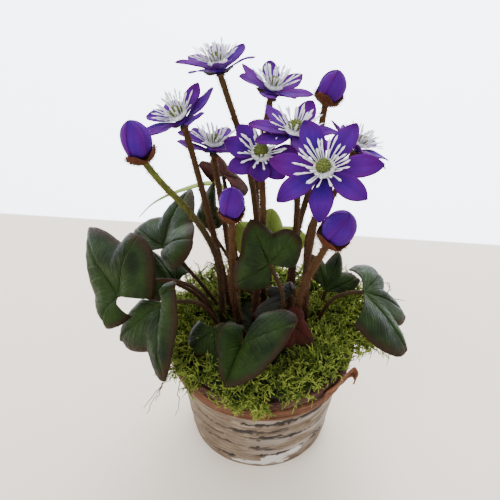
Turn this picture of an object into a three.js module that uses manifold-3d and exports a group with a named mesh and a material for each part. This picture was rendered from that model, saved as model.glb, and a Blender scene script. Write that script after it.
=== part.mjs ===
// Potted hepatica: eight open flowers, four buds, three-lobed leaves and moss in a birch bark pot.
// Millimetres, +Z up. The pot stands on z = 0, centred on the Z axis, and its front faces -Y.

import * as THREE from "three";
import Module from "manifold-3d";

const wasm = await Module();
wasm.setup();

// Driving dimensions of the pot
const BASE_RADIUS = 38;
const BARK_TOP_RADIUS = 46.2;
const BARK_HEIGHT = 61;
const BARK_THICKNESS = 1.7;
const LINER_WALL = 1.4;
const LINER_FLOOR = 2;
const GAP = 0.35;
const SOIL_TOP = 56;
const SOCKET_FLOOR = 30;
const RIM_TOP = 66;
const OUTER_STRIP = { clear: 0.5, low: 48.6, high: 55.4, thickness: 1.9, wander: 0.7, turns: 3, phase: 0.4 };
const MIDDLE_STRIP = { clear: 0.5, low: 57.3, high: 63.6, thickness: 2.2, wander: 0.5, turns: 2, phase: 2 };
const POT_SIDES = 32;
const RIM_SIDES = 26;

// Driving dimensions of the plant
const STALK_SIDES = 5;
const STEM_RADIUS = 1.5;
const PETIOLE_RADIUS = 1.0;
const SOCKET_CLEARANCE = 0.35;
const MOSS_CLEARANCE = 0.45;
const PETAL_THICKNESS = 0.65;
const LEAF_THICKNESS = 0.8;
const HUB_RADIUS = 3;
const PETAL_START = 2.5;
const MOSS_STRANDS = 26;

// Heights along a flower's axis, measured from the top of its petal hub
const PETAL_HUB_FLOOR = -1.7;
const STEM_TOP = PETAL_HUB_FLOOR - 0.9;
const STAMEN_HUB = { floor: 0.4, foot: 1.8, radius: 4.5, topRadius: 3.6, slope: 0.9 };
const STAMENS = 18;
const HEAD = { radius: 3.8, height: 3.9 };

// Height up to which stalks stand straight, just above the moss among them
const STRAIGHT_TOP = 71;

// Each flower: centre of its petal hub, facing direction, rise of the petals in degrees, petal length,
// petal bearings in degrees round the axis, where the stem enters the filling and where it passes
const FLOWERS = [
  {
    at: [-22, 15, 206], facing: [-0.2, 0.1, 0.97], rise: 22, petal: 20,
    bearings: [337, 52, 92, 137, 186, 232, 285],
    root: [-4, 15], via: [[-3, 14.5, 115], [-8.5, 15, 158]],
  },
  {
    at: [-38, 0, 188.5], facing: [-0.44, -0.11, 0.89], rise: 17, petal: 20,
    bearings: [150, 188, 230, 313, 14, 50, 110],
    root: [-17, 12], via: [[-23, 8, 110], [-32, 2.5, 162]],
  },
  {
    at: [-25, 14, 168], facing: [0.08, 0.1, 0.99], rise: 17, petal: 19,
    bearings: [202, 125, 72, 40, 318, 284, 165],
    root: [-14, 18], via: [[-19.5, 16, 120]],
  },
  {
    at: [-3, -12, 178], facing: [0, -0.56, 0.83], rise: 20, petal: 17.5,
    bearings: [129, 172, 214, 265, 310, 352],
    root: [-4, 4], via: [[-1.3, -14.5, 146]],
  },
  {
    at: [10.8, -11, 188.5], facing: [0.11, -0.19, 0.98], rise: 9, petal: 20.5,
    bearings: [131, 69, 184, 214, 286, 332, 15],
    root: [15, 8], via: [[15, 4.5, 146]],
  },
  {
    at: [2, 27, 191], facing: [0.21, -0.05, 0.98], rise: 21, petal: 20,
    bearings: [150, 199, 44, 348, 255, 300, 98],
    root: [1, 20], via: [[-3, 20.6, 122], [-4.5, 22, 143]],
  },
  {
    at: [43.5, 22, 165.5], facing: [0.5, 0.13, 0.86], rise: 12, petal: 20,
    bearings: [308, 267, 53, 105, 191, 228, 10],
    root: [24, 11], via: [[24, 17, 123], [34, 19, 140]],
  },
  {
    at: [21.5, -38, 186], facing: [-0.23, -0.56, 0.79], rise: 9, petal: 23.5,
    bearings: [159, 204, 253, 307, 352, 46, 100],
    root: [23, 3], via: [[20, -11, 107], [20.4, -22.5, 144]],
  },
];

// Each bud: bottom of its calyx, direction it points in, size, and the route of its stem
const BUDS = [
  { at: [-52, -20, 178], facing: [-0.25, 0, 1], radius: 6.3, height: 19, root: [-21, 4],
    via: [[-23.5, -5, 119], [-33.5, -11, 146], [-46, -16, 166]] },
  { at: [-15, -32, 158.5], facing: [0, -0.25, 1], radius: 5.4, height: 17, root: [-12, 1],
    via: [[-15, -12, 103], [-15, -21, 129]] },
  { at: [25, 10, 192], facing: [0.3, 0, 1], radius: 5.9, height: 16, root: [14, 17],
    via: [[17, 15, 120], [21.5, 13, 150]] },
  { at: [25.8, -38, 151.5], facing: [0.4, -0.25, 1], radius: 6.9, height: 18, root: [18, -5],
    via: [[17.3, -19.7, 107], [20.4, -27.6, 126]] },
];

// Each leaf: where the petiole meets the blade, the tips of its left, middle and right lobe,
// and the route of its petiole. Leaves that share a node share one root.
const LEAVES = {
  leaf_far_left: [
    { at: [-71, -15, 101], left: [-80, -20, 86], middle: [-92, 18, 118], right: [-60, -6, 131],
      root: [-23, -2], via: [[-30, -4, 92], [-40, -8, 104], [-54, -12, 108]] },
  ],
  leaf_low_left: [
    { at: [-48, -22, 103], left: [-42, -28, 117], middle: [-45, -55, 83.5], right: [-71, -22, 77], end: 115,
      root: [-20, -7], via: [[-32, -14, 96]] },
  ],
  leaf_back_left_low: [
    { at: [-45, 5, 93], left: [-65, 4, 92], middle: [-60, 22, 102], right: [-47, 20, 99], end: 120,
      root: [-26, 6], via: [[-36, 6, 86]] },
  ],
  leaf_back_left_high: [
    { at: [-51, 10, 112], left: [-68, 31, 110], middle: [-38, 33, 134], right: [-35, -5, 129], end: 125,
      root: [-23, 13], via: [[-35, 12, 91], [-46, 11, 107]] },
  ],
  leaf_back_centre: [
    { at: [2, 32, 96], left: [-14, 35, 111], middle: [4, 39, 119], right: [22, 35, 106],
      root: [6, 27], via: [[4, 30, 82]] },
  ],
  leaf_centre: [
    { at: [2, -24, 129], left: [-14, -30, 122], middle: [-7, -18, 149], right: [12.5, -21, 145],
      root: [8, -10], via: [[9, -14, 85], [9, -21, 108]] },
  ],
  leaf_front: [
    { at: [-10, -36, 90], left: [14.3, -41, 107.5], middle: [-17.5, -54, 80], right: [-20, -36, 100],
      notch: 0.82, root: [-9, -8], via: [[-11, -20, 86], [-11, -30, 92]] },
  ],
  leaf_front_left: [
    { at: [-24, -24, 88], left: [-12, -31, 83], middle: [-20, -43, 72], right: [-36, -27, 76],
      root: [-15, -7], via: [[-20, -16, 84]] },
  ],
  leaf_right: [
    { at: [50, -8, 100], left: [61, 12, 97], middle: [74, -2, 83], right: [71, -27, 78],
      notch: 0.8, root: [29, 1], via: [[36, -3, 91], [44, -6, 98]] },
  ],
  leaf_back_right: [
    { at: [34, 12, 84], left: [28, 22, 100], middle: [41, 27, 99], right: [51, 19, 88], end: 105,
      root: [30, 9], via: [[32, 11, 76]] },
  ],
  small_leaves_front: [
    { at: [12.5, -26, 95], left: [17, -20, 100], middle: [25.5, -28, 81.5], right: [12, -35, 88], end: 105,
      root: [13, -6], via: [[12, -18, 87]] },
    { at: [7, -22, 83], left: [13, -26, 78], middle: [6, -36, 73], right: [-1, -26, 78],
      branch: [12.8, -9.5, 75.5], via: [[10, -15, 78]], small: true },
    { at: [14, -9, 98], left: [-4, -14, 91], middle: [3, -3, 98], right: [13, -1, 100],
      branch: [12.8, -10, 76.5], via: [[14, -8, 84]], end: 100, small: true },
  ],
  small_leaves_back: [
    { at: [-21, 24, 147], left: [-32, 25, 154], middle: [-24, 38, 152], right: [-9, 33, 136],
      root: [-11, 24], via: [[-16, 25, 110], [-19, 24, 135]] },
    { at: [-29, 21, 118], left: [-35, 23, 120], middle: [-26, 28, 141], right: [-24, 23, 126],
      branch: [-12.5, 24.3, 82], via: [[-20, 23, 100]], small: true },
  ],
};

// The pale strap-shaped leaf: points along its middle, from the filling to the tip
const STRAP = {
  root: [-5, 29],
  path: [
    [-5, 29, STRAIGHT_TOP], [-10, 40, 104], [-24, 43, 131],
    [-46, 44, 126], [-60, 42, 119], [-68, 40, 111],
  ],
  width: 3.6,
};

const COLOURS = {
  liner: 0x4a3d2c, bark: 0xa39c8c, stripOuter: 0x96643c, stripMiddle: 0x7c4430, stripInner: 0x6d5742,
  soil: 0x2a2117, moss: 0x7f9a26, petal: 0x4b2d9c, stamen: 0xe9e8f0, head: 0x8b9a2f, stem: 0x4d3620,
  leaf: 0x2d4a2d, leafYoung: 0x3a2a2c, leafPale: 0x8fa850, strap: 0xa9bd6f,
};

const radians = THREE.MathUtils.degToRad;
const vector = (p) => new THREE.Vector3(...p);
const lerp = THREE.MathUtils.lerp;

// Repeatable random numbers between 0 and 1
function randomFrom(seed) {
  let state = seed >>> 0;
  return () => {
    state = (Math.imul(state, 1664525) + 1013904223) >>> 0;
    return state / 4294967296;
  };
}

// A solid is a list of points and a list of triangles that face out.
function toManifold({ points, faces }) {
  const vertProperties = new Float32Array(points.flatMap((p) => [p.x, p.y, p.z]));
  const triVerts = new Uint32Array(faces.flat());
  return new wasm.Manifold(new wasm.Mesh({ numProp: 3, vertProperties, triVerts }));
}

function join(solids) {
  return wasm.Manifold.union(solids.map(toManifold));
}

function largestPiece(manifold) {
  const pieces = manifold.decompose();
  return pieces.reduce((best, piece) => (piece.volume() > best.volume() ? piece : best));
}

// Closed skin through rings of points, each ring counter-clockwise about the way the rings go
function loft(rings) {
  const count = rings[0].length;
  const points = rings.flat();
  const faces = [];
  for (let r = 0; r < rings.length - 1; r++) {
    for (let k = 0; k < count; k++) {
      const next = (k + 1) % count;
      const a = r * count + k;
      const b = r * count + next;
      faces.push([a, b, b + count], [a, b + count, a + count]);
    }
  }
  const last = (rings.length - 1) * count;
  for (let k = 1; k < count - 1; k++) {
    faces.push([0, k + 1, k]);
    faces.push([last, last + k, last + k + 1]);
  }
  return { points, faces };
}

// A skin round the Z axis through rings that close on themselves, such as a wall with its two faces
function revolveLoop(profileAt, sides) {
  const points = [];
  const faces = [];
  const count = profileAt(0).length;
  for (let s = 0; s < sides; s++) {
    const turn = (s / sides) * 2 * Math.PI;
    for (const [r, z] of profileAt(turn)) {
      points.push(new THREE.Vector3(r * Math.cos(turn), r * Math.sin(turn), z));
    }
  }
  for (let s = 0; s < sides; s++) {
    const here = s * count;
    const there = ((s + 1) % sides) * count;
    for (let k = 0; k < count; k++) {
      const next = (k + 1) % count;
      faces.push([here + k, there + k, there + next], [here + k, there + next, here + next]);
    }
  }
  return { points, faces };
}

// A plate of even thickness on an open surface, with the same triangles on both faces
function thicken({ points, faces }, thickness) {
  const normals = points.map(() => new THREE.Vector3());
  for (const [a, b, c] of faces) {
    const edge = points[b].clone().sub(points[a]);
    const normal = edge.cross(points[c].clone().sub(points[a])).normalize();
    [a, b, c].forEach((k) => normals[k].add(normal));
  }
  normals.forEach((normal) => normal.normalize().multiplyScalar(thickness / 2));
  const top = points.map((p, k) => p.clone().add(normals[k]));
  const bottom = points.map((p, k) => p.clone().sub(normals[k]));
  const n = points.length;
  const edges = new Set(faces.flatMap(([a, b, c]) => [`${a},${b}`, `${b},${c}`, `${c},${a}`]));
  const skin = faces.flatMap(([a, b, c]) => [[a, b, c], [n + a, n + c, n + b]]);
  for (const edge of edges) {
    const [a, b] = edge.split(",").map(Number);
    if (!edges.has(`${b},${a}`)) {
      skin.push([a, n + a, n + b], [a, n + b, b]);
    }
  }
  return { points: [...top, ...bottom], faces: skin };
}

// Frames carried along a curve without twist
function framesAlong(curve, segments) {
  const frames = [];
  let side = null;
  for (let s = 0; s <= segments; s++) {
    const t = s / segments;
    const tangent = s === 0 ? new THREE.Vector3(0, 0, 1) : curve.getTangentAt(t);
    if (side === null) {
      side = new THREE.Vector3(1, 0, 0);
    }
    side = side.clone().addScaledVector(tangent, -side.dot(tangent)).normalize();
    frames.push({ t, point: curve.getPointAt(t), tangent, side, up: tangent.clone().cross(side) });
  }
  return frames;
}

function smoothCurve(path) {
  return new THREE.CatmullRomCurve3(path.map(vector), false, "centripetal");
}

function tubeRings(path, radiusAt, sides, segments) {
  return framesAlong(smoothCurve(path), segments).map(({ t, point, side, up }) => {
    const ring = [];
    for (let k = 0; k < sides; k++) {
      const turn = (k / sides) * 2 * Math.PI;
      const reach = side.clone().multiplyScalar(Math.cos(turn)).addScaledVector(up, Math.sin(turn));
      ring.push(point.clone().addScaledVector(reach, radiusAt(t)));
    }
    return ring;
  });
}

// A stalk stands straight in its socket and bends only above the moss
function stalk({ path, radiusAt, segments, branch }) {
  const rings = tubeRings(path, radiusAt, STALK_SIDES, segments);
  if (branch) {
    return loft(rings);
  }
  const drop = new THREE.Vector3(0, 0, SOCKET_FLOOR - STRAIGHT_TOP);
  return loft([rings[0].map((p) => p.clone().add(drop)), ...rings]);
}

// Axes of a piece that faces along a direction: places local points in the plant
function placeFacing(at, facing) {
  const normal = vector(facing).normalize();
  const across = new THREE.Vector3(0, 1, 0).cross(normal).normalize();
  const along = normal.clone().cross(across);
  const matrix = new THREE.Matrix4().makeBasis(across, along, normal).setPosition(...at);
  return ({ points, faces }) => ({ points: points.map((p) => p.clone().applyMatrix4(matrix)), faces });
}

function disc(radius, floor, top, sides) {
  const ringAt = (z) => Array.from({ length: sides }, (_, k) => {
    const turn = (k / sides) * 2 * Math.PI;
    return new THREE.Vector3(radius * Math.cos(turn), radius * Math.sin(turn), z);
  });
  return loft([ringAt(floor), ringAt(top)]);
}

// One blade that leaves the axis at a bearing: its rise eases off towards the tip
function bladeSurface({ bearing, start, length, width, rise, lift, arch, rows, shapeAt }) {
  const points = [];
  const faces = [];
  const turn = radians(bearing);
  const out = new THREE.Vector3(Math.cos(turn), Math.sin(turn), 0);
  const across = new THREE.Vector3(-Math.sin(turn), Math.cos(turn), 0);
  const pointAt = (u, s) => {
    const half = (width / 2) * shapeAt(u);
    const reach = start + length * u * Math.cos(radians(rise));
    const height = lift + length * Math.sin(radians(rise)) * (1.25 * u - 0.25 * u * u) + arch * half * s * s;
    return out.clone().multiplyScalar(reach).addScaledVector(across, half * s).setZ(height);
  };
  rows.forEach((u) => [-1, 0, 1].forEach((s) => points.push(pointAt(u, s))));
  points.push(pointAt(1, 0));
  for (let r = 0; r < rows.length - 1; r++) {
    for (let c = 0; c < 2; c++) {
      const a = r * 3 + c;
      faces.push([a, a + 3, a + 4], [a, a + 4, a + 1]);
    }
  }
  const edge = (rows.length - 1) * 3;
  const tip = points.length - 1;
  faces.push([edge, tip, edge + 1], [edge + 1, tip, edge + 2]);
  return { points, faces };
}

const petalShape = (u) => 0.22 + 0.78 * Math.sin(Math.PI * (0.04 + 0.78 * u)) ** 1.2;

// Tepals stand in two layers, so that neighbours pass over each other
function petalRing({ bearings, petal, rise }, random) {
  const inOrder = bearings.toSorted((a, b) => a - b);
  const petals = inOrder.map((bearing, k) => thicken(bladeSurface({
    bearing,
    start: PETAL_START,
    length: petal - PETAL_START - 1.5 * random(),
    width: 9.6 + random(),
    rise: rise + (k % 2 === 0 ? -1 : 1.5),
    lift: k % 2 === 0 ? -1.3 : -0.35,
    arch: k % 2 === 0 ? 0.03 : 0.2,
    rows: [0, 0.4, 0.8],
    shapeAt: petalShape,
  }), PETAL_THICKNESS));
  return [disc(HUB_RADIUS, PETAL_HUB_FLOOR, 0, 7), ...petals];
}

// Height of the stamens' ring above the petals, which rise with the cup of the flower
const seatOf = (rise) => STAMEN_HUB.foot * Math.tan(radians(rise)) * 2.2 + 0.9;

// White filaments that widen into a club and end in a point, each grown from its own facet of the ring
function stamenRing({ rise }, random) {
  const seat = seatOf(rise);
  const ringAt = (radius, z) => Array.from({ length: STAMENS }, (_, k) => {
    const turn = (k / STAMENS) * 2 * Math.PI;
    return new THREE.Vector3(radius * Math.cos(turn), radius * Math.sin(turn), z);
  });
  const hub = loft([
    ringAt(STAMEN_HUB.foot, STAMEN_HUB.floor), ringAt(STAMEN_HUB.radius, seat),
    ringAt(STAMEN_HUB.topRadius, seat + STAMEN_HUB.slope),
  ]);
  const points = hub.points;
  const onTop = (p) => p >= 2 * STAMENS;
  const isFacet = (face) => face.some(onTop) && face.some((p) => p >= STAMENS && !onTop(p));
  const faces = hub.faces.filter((face) => !isFacet(face));
  for (let k = 0; k < STAMENS; k++) {
    const next = (k + 1) % STAMENS;
    const corners = [STAMENS + k, STAMENS + next, 2 * STAMENS + next, 2 * STAMENS + k];
    const turn = ((k + 0.5) / STAMENS) * 2 * Math.PI;
    const lean = radians(rise + 16 + (k % 2) * 20 + 8 * random());
    const length = 6.6 + 2 * random();
    const flat = Math.cos(lean);
    const out = new THREE.Vector3(Math.cos(turn) * flat, Math.sin(turn) * flat, Math.sin(lean));
    const across = new THREE.Vector3(-Math.sin(turn), Math.cos(turn), 0);
    const up = out.clone().cross(across);
    const middle = corners.reduce((sum, c) => sum.add(points[c]), new THREE.Vector3()).divideScalar(4);
    const addRing = (distance, radius) => [210, 330, 90].map((degrees) => points.push(middle.clone()
      .addScaledVector(out, distance)
      .addScaledVector(across, radius * Math.cos(radians(degrees)))
      .addScaledVector(up, radius * Math.sin(radians(degrees)))) - 1);
    const root = addRing(0.05, 0.36);
    const club = addRing(length * 0.84, 0.66);
    const tip = points.push(middle.clone().addScaledVector(out, length)) - 1;
    faces.push(
      [corners[0], corners[1], root[1]], [corners[0], root[1], root[0]], [corners[1], corners[2], root[1]],
      [corners[2], root[2], root[1]], [corners[2], corners[3], root[2]], [corners[3], root[0], root[2]],
      [corners[3], corners[0], root[0]],
    );
    for (let c = 0; c < 3; c++) {
      const d = (c + 1) % 3;
      faces.push([root[c], root[d], club[d]], [root[c], club[d], club[c]], [club[c], club[d], tip]);
    }
  }
  return { points, faces };
}

// Dome of carpels: every other point stands out, so that the dome is covered in small knobs
function carpelHead({ rise }) {
  const sides = 12;
  const floor = seatOf(rise) + STAMEN_HUB.slope + 0.35;
  const rings = [[0, 0.8], [0.25, 1], [0.55, 0.86], [0.85, 0.5]].map(([level, share], row) => {
    const ring = [];
    for (let k = 0; k < sides; k++) {
      const turn = (k / sides) * 2 * Math.PI;
      const knob = (k + row) % 2 === 0 ? 1.08 : 0.92;
      const r = HEAD.radius * share * knob;
      const z = row === 0 ? floor : floor + HEAD.height * level * knob;
      ring.push(new THREE.Vector3(r * Math.cos(turn), r * Math.sin(turn), z));
    }
    return ring;
  });
  return loft(rings);
}

function stemPath({ at, root, via, facing }, end) {
  const top = vector(at).addScaledVector(vector(facing).normalize(), end);
  return [[...root, STRAIGHT_TOP], ...via, top.toArray()];
}

const stemRadius = (t) => STEM_RADIUS * lerp(1.1, 0.95, t);

// Three small bracts in one star under the petals
function bractStar({ rise }) {
  const outline = [[0, 7.6], [22, 4], [60, 1.6], [98, 4]];
  const points = [new THREE.Vector3(0, 0, STEM_TOP)];
  for (let third = 0; third < 3; third++) {
    outline.forEach(([degrees, reach]) => {
      const turn = radians(degrees + 120 * third + 40);
      const height = STEM_TOP + 0.1 * reach * Math.tan(radians(rise)) * reach * 0.5;
      points.push(new THREE.Vector3(reach * Math.cos(turn), reach * Math.sin(turn), height));
    });
  }
  const faces = points.slice(1).map((_, k) => [0, k + 1, k + 2 < points.length ? k + 2 : 1]);
  return thicken({ points, faces }, 0.7);
}

function flowerStem(flower) {
  const place = placeFacing(flower.at, flower.facing);
  const stem = stalk({ path: stemPath(flower, STEM_TOP), radiusAt: stemRadius, segments: 7 });
  return [stem, place(bractStar(flower))];
}

// Closed tepals wrapped over each other: the outline steps in at each edge
function budEgg({ radius, height }) {
  const sides = 10;
  const profile = [[2.6, 0.38], [5, 0.84], [8.5, 1], [12.5, 0.93], [15.8, 0.6], [17.2, 0.22]];
  const scale = height / 17.5;
  const rings = profile.map(([z, share]) => {
    const ring = [];
    for (let k = 0; k < sides; k++) {
      const turn = ((k + z * 0.06) / sides) * 2 * Math.PI;
      const step = k % 5 === 0 ? 0.93 : 1;
      ring.push(new THREE.Vector3(
        radius * share * step * Math.cos(turn), radius * share * step * Math.sin(turn), z * scale));
    }
    return ring;
  });
  return loft(rings);
}

function budStem(bud) {
  const place = placeFacing(bud.at, bud.facing);
  const cupRings = [
    [0.2, 1.7], [0.9, 0.8 * bud.radius], [5.8, bud.radius + 1.2], [5.9, bud.radius + 0.6],
    [1.6, 0.8 * bud.radius - 0.6],
  ].map(([z, r], row) => Array.from({ length: 9 }, (_, k) => {
    const turn = (k / 9) * 2 * Math.PI;
    const scallop = row === 2 || row === 3 ? 1.6 * Math.cos(3 * turn) : 0;
    return new THREE.Vector3(r * Math.cos(turn), r * Math.sin(turn), z + scallop);
  }));
  return [stalk({ path: stemPath(bud, 0.6), radiusAt: stemRadius, segments: 7 }), place(loft(cupRings))];
}

// Outline of a three-lobed blade: from the tip of a lobe to the notch beside it, or to the corner at its
// base, bowed outward on the way
const LOBE_BEARING = 75;
const BLADE_END = 140;
const NOTCH_REACH = 0.68;
const BASE_REACH = 0.6;
const LOBE_BOW = 0.1;
const BACK_BOW = 0.3;
const WIDEST_BEARING = 165;

// Share of the way from a lobe's middle line to its edge
function offMiddle(bearing, end) {
  const b = Math.abs(bearing);
  if (b > LOBE_BEARING) {
    return (b - LOBE_BEARING) / (end - LOBE_BEARING);
  }
  return Math.abs(b - Math.round(b / LOBE_BEARING) * LOBE_BEARING) / (LOBE_BEARING / 2);
}

function leafSurface({ at, left, middle, right, end = BLADE_END, notch = NOTCH_REACH, small = false }) {
  const back = (share) => lerp(LOBE_BEARING, end, share);
  const half = small
    ? [end, back(0.5), LOBE_BEARING, 37.5]
    : [end, back(0.75), back(0.5), back(0.25), LOBE_BEARING, 58, 37.5, 18];
  const bearings = [...half.map((b) => -b), 0, ...half.toReversed()];
  const levels = [0.5, 1];
  const centre = vector(at);
  const armTo = (tip) => vector(tip).sub(centre);
  const arms = { [-1]: armTo(left), 0: armTo(middle), 1: armTo(right) };
  const up = arms[1].clone().cross(arms[0]).add(arms[0].clone().cross(arms[-1])).normalize();
  const size = arms[0].length();
  const forward = arms[0].clone().normalize();
  const edgeAt = (bearing) => {
    const arm = arms[Math.sign(bearing) || 1];
    const open = forward.angleTo(arm);
    const aside = arm.clone().addScaledVector(forward, -arm.dot(forward)).normalize();
    const place = (angle, length) => forward.clone().multiplyScalar(length * Math.cos(angle))
      .addScaledVector(aside, length * Math.sin(angle));
    const isBack = Math.abs(bearing) > LOBE_BEARING;
    const room = Math.max(0, Math.min(radians(end - LOBE_BEARING), radians(WIDEST_BEARING) - open));
    const from = Math.abs(bearing) > LOBE_BEARING / 2 ? arm : arms[0];
    const to = isBack
      ? place(open + room, BASE_REACH * arm.length())
      : place(open / 2, notch * (size + arm.length()) / 2);
    const t = offMiddle(bearing, end);
    const bow = isBack ? BACK_BOW : LOBE_BOW;
    return from.clone().lerp(to, t).multiplyScalar(1 + bow * Math.sin(Math.PI * t));
  };
  const pointAt = (bearing, level) => {
    const droop = 0.07 * level * level * offMiddle(bearing, end) ** 2;
    const bulge = size * (0.09 * Math.sin(Math.PI * level) - droop);
    return centre.clone().addScaledVector(edgeAt(bearing), level).addScaledVector(up, bulge);
  };
  const points = [centre.clone()];
  bearings.forEach((bearing) => levels.forEach((level) => points.push(pointAt(bearing, level))));
  const faces = [];
  const n = levels.length;
  for (let k = 0; k < bearings.length - 1; k++) {
    const a = 1 + k * n;
    const b = a + n;
    faces.push([0, b, a]);
    for (let level = 0; level < n - 1; level++) {
      faces.push([a + level, b + level, b + level + 1], [a + level, b + level + 1, a + level + 1]);
    }
  }
  return { points, faces };
}

function petiolePath({ at, root, branch, via }) {
  return [branch ?? [...root, STRAIGHT_TOP], ...via, at];
}

const petioleRadius = () => PETIOLE_RADIUS;

function leafSolids(leaf) {
  const petiole = { path: petiolePath(leaf), radiusAt: petioleRadius, segments: leaf.branch ? 3 : 5 };
  return [thicken(leafSurface(leaf), LEAF_THICKNESS), stalk({ ...petiole, branch: leaf.branch })];
}

function strapSolids() {
  const segments = 14;
  const points = [];
  const faces = [];
  const upright = new THREE.Vector3(0, 0, 1);
  const foot = { t: 0, point: new THREE.Vector3(...STRAP.root, SOCKET_FLOOR), tangent: upright };
  [foot, ...framesAlong(smoothCurve(STRAP.path), segments)].forEach(({ t, point, tangent }) => {
    const across = new THREE.Vector3(0, 1, 0).addScaledVector(tangent, -tangent.y).normalize();
    const taper = t < 0.7 ? Math.min(1, 0.45 + 1.6 * t) : lerp(1, 0.18, (t - 0.7) / 0.3);
    const half = (STRAP.width / 2) * taper;
    points.push(point.clone().addScaledVector(across, -half), point.clone().addScaledVector(across, half));
  });
  for (let s = 0; s <= segments; s++) {
    const a = s * 2;
    faces.push([a, a + 1, a + 3], [a, a + 3, a + 2]);
  }
  return [thicken({ points, faces }, LEAF_THICKNESS)];
}

// Pot
const barkRadius = (z) => lerp(BASE_RADIUS, BARK_TOP_RADIUS, z / BARK_HEIGHT);

function barkWrap() {
  const profileAt = (turn) => {
    const outer = [0, 9, 20, 31, 42, BARK_HEIGHT].map((z, row) => {
      const wave = 0.45 * Math.sin(5 * turn + 2.1 * row) * Math.cos(3 * turn - row);
      return [barkRadius(z) + (row === 0 || row > 4 ? 0 : wave), z];
    });
    const inner = [BARK_HEIGHT, 0].map((z) => [barkRadius(z) - BARK_THICKNESS, z]);
    return [...outer, ...inner];
  };
  return revolveLoop(profileAt, POT_SIDES);
}

function linerCup() {
  const outerAt = (z) => barkRadius(z) - BARK_THICKNESS - GAP;
  const rim = BARK_HEIGHT - 1;
  const ringAt = (r, z) => Array.from({ length: POT_SIDES }, (_, k) => {
    const turn = (k / POT_SIDES) * 2 * Math.PI;
    return new THREE.Vector3(r * Math.cos(turn), r * Math.sin(turn), z);
  });
  return loft([
    ringAt(outerAt(0), 0), ringAt(outerAt(rim), rim), ringAt(outerAt(rim) - LINER_WALL, rim),
    ringAt(outerAt(LINER_FLOOR) - LINER_WALL, LINER_FLOOR),
  ]);
}

// One bark strip bent round the rim: the middle of its section wanders a little in radius and height
function rimStrip({ clear, low, high, thickness, wander, turns, phase }) {
  const profileAt = (turn) => {
    const lift = wander * Math.sin(turns * turn + phase);
    const swell = 0.3 * wander * (1 + Math.cos((turns + 1) * turn + phase));
    const base = low + lift;
    const top = high + lift;
    const inside = (z) => barkRadius(z) + clear + swell;
    return [
      [inside(base), base], [inside(base) + thickness, base + 0.6],
      [inside(top) + thickness, top - 0.8], [inside(top), top],
    ];
  };
  return revolveLoop(profileAt, RIM_SIDES);
}

function rimInnerStrip() {
  const profileAt = (turn) => {
    const lift = 0.5 * Math.sin(4 * turn + 1);
    return [
      [41.2, BARK_HEIGHT + 0.9], [46.4, BARK_HEIGHT + 0.9], [46.6, BARK_HEIGHT + 3 + lift],
      [44, BARK_HEIGHT + 4.6 + lift], [41.4, BARK_HEIGHT + 3.4 + lift],
    ];
  };
  return revolveLoop(profileAt, RIM_SIDES);
}

// Where each stalk stands, with its radius, for the plain holes in the filling and the moss
const STALKS = [
  ...[...FLOWERS, ...BUDS].map(({ root }) => ({ root, radius: STEM_RADIUS * 1.1 })),
  ...Object.values(LEAVES).map(([leaf]) => ({ root: leaf.root, radius: PETIOLE_RADIUS })),
  { root: STRAP.root, radius: STRAP.width / 2 },
];

function stalkHoles(clearance, floor, top) {
  return wasm.Manifold.union(STALKS.map(({ root, radius }) => {
    const hole = disc(radius + clearance, floor, top, STALK_SIDES);
    return toManifold(hole).translate([...root, 0]);
  }));
}

function filling() {
  const outerAt = (z) => barkRadius(z) - BARK_THICKNESS - GAP - LINER_WALL - GAP;
  const floor = LINER_FLOOR + GAP;
  const ringAt = (r, z) => Array.from({ length: 24 }, (_, k) => {
    const turn = (k / 24) * 2 * Math.PI;
    const lump = z > floor ? 0.8 * Math.sin(7 * turn) : 0;
    return new THREE.Vector3(r * Math.cos(turn), r * Math.sin(turn), z + lump);
  });
  const plug = loft([ringAt(outerAt(floor), floor), ringAt(outerAt(SOIL_TOP) - 0.3, SOIL_TOP - 1)]);
  return toManifold(plug).subtract(stalkHoles(SOCKET_CLEARANCE, SOCKET_FLOOR - GAP, SOIL_TOP + 2));
}

// Moss: a low mound that spills over the rim, with short branching strands rooted in it
function mossMound() {
  const spillAt = (turn) => 49 + 2.2 * Math.sin(3 * turn + 0.6) + 1.4 * Math.cos(7 * turn);
  const ringAt = (shareAt, heightAt) => Array.from({ length: 20 }, (_, k) => {
    const turn = (k / 20) * 2 * Math.PI;
    return new THREE.Vector3(shareAt(turn) * Math.cos(turn), shareAt(turn) * Math.sin(turn), heightAt(turn));
  });
  const wave = (turn, size) => size * Math.sin(5 * turn + 0.4) * Math.cos(2 * turn);
  return loft([
    ringAt(() => 39, () => SOIL_TOP + 1),
    ringAt(() => 40.2, () => RIM_TOP + 0.2),
    ringAt((turn) => spillAt(turn) - 1, () => RIM_TOP + 0.9),
    ringAt(spillAt, (turn) => RIM_TOP + 3 + wave(turn, 0.8)),
    ringAt(() => 40, (turn) => RIM_TOP + 6 + wave(turn, 1.6)),
    ringAt(() => 35, (turn) => RIM_TOP + 5 + wave(turn, 1.2)),
    ringAt(() => 24, () => RIM_TOP + 1.5),
  ]);
}

function mossStrands() {
  const random = randomFrom(41);
  const strands = [];
  for (let k = 0; k < MOSS_STRANDS; k++) {
    const turn = ((k + random()) / MOSS_STRANDS) * 2 * Math.PI;
    const from = lerp(33, 47, random());
    const outward = lerp(3, 12, random());
    const height = RIM_TOP + lerp(2, 5, random());
    const swing = 0.12 * (random() - 0.5);
    const pointAt = (r, z, spin) => [r * Math.cos(turn + spin), r * Math.sin(turn + spin), z];
    const path = [
      pointAt(from, height, 0), pointAt(from + outward * 0.5, height + 5, swing),
      pointAt(from + outward, height + 4 - 5 * random(), 2 * swing),
    ];
    strands.push(loft(tubeRings(path, (t) => lerp(1, 0.45, t), 3, 2)));
  }
  return strands;
}

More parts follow.
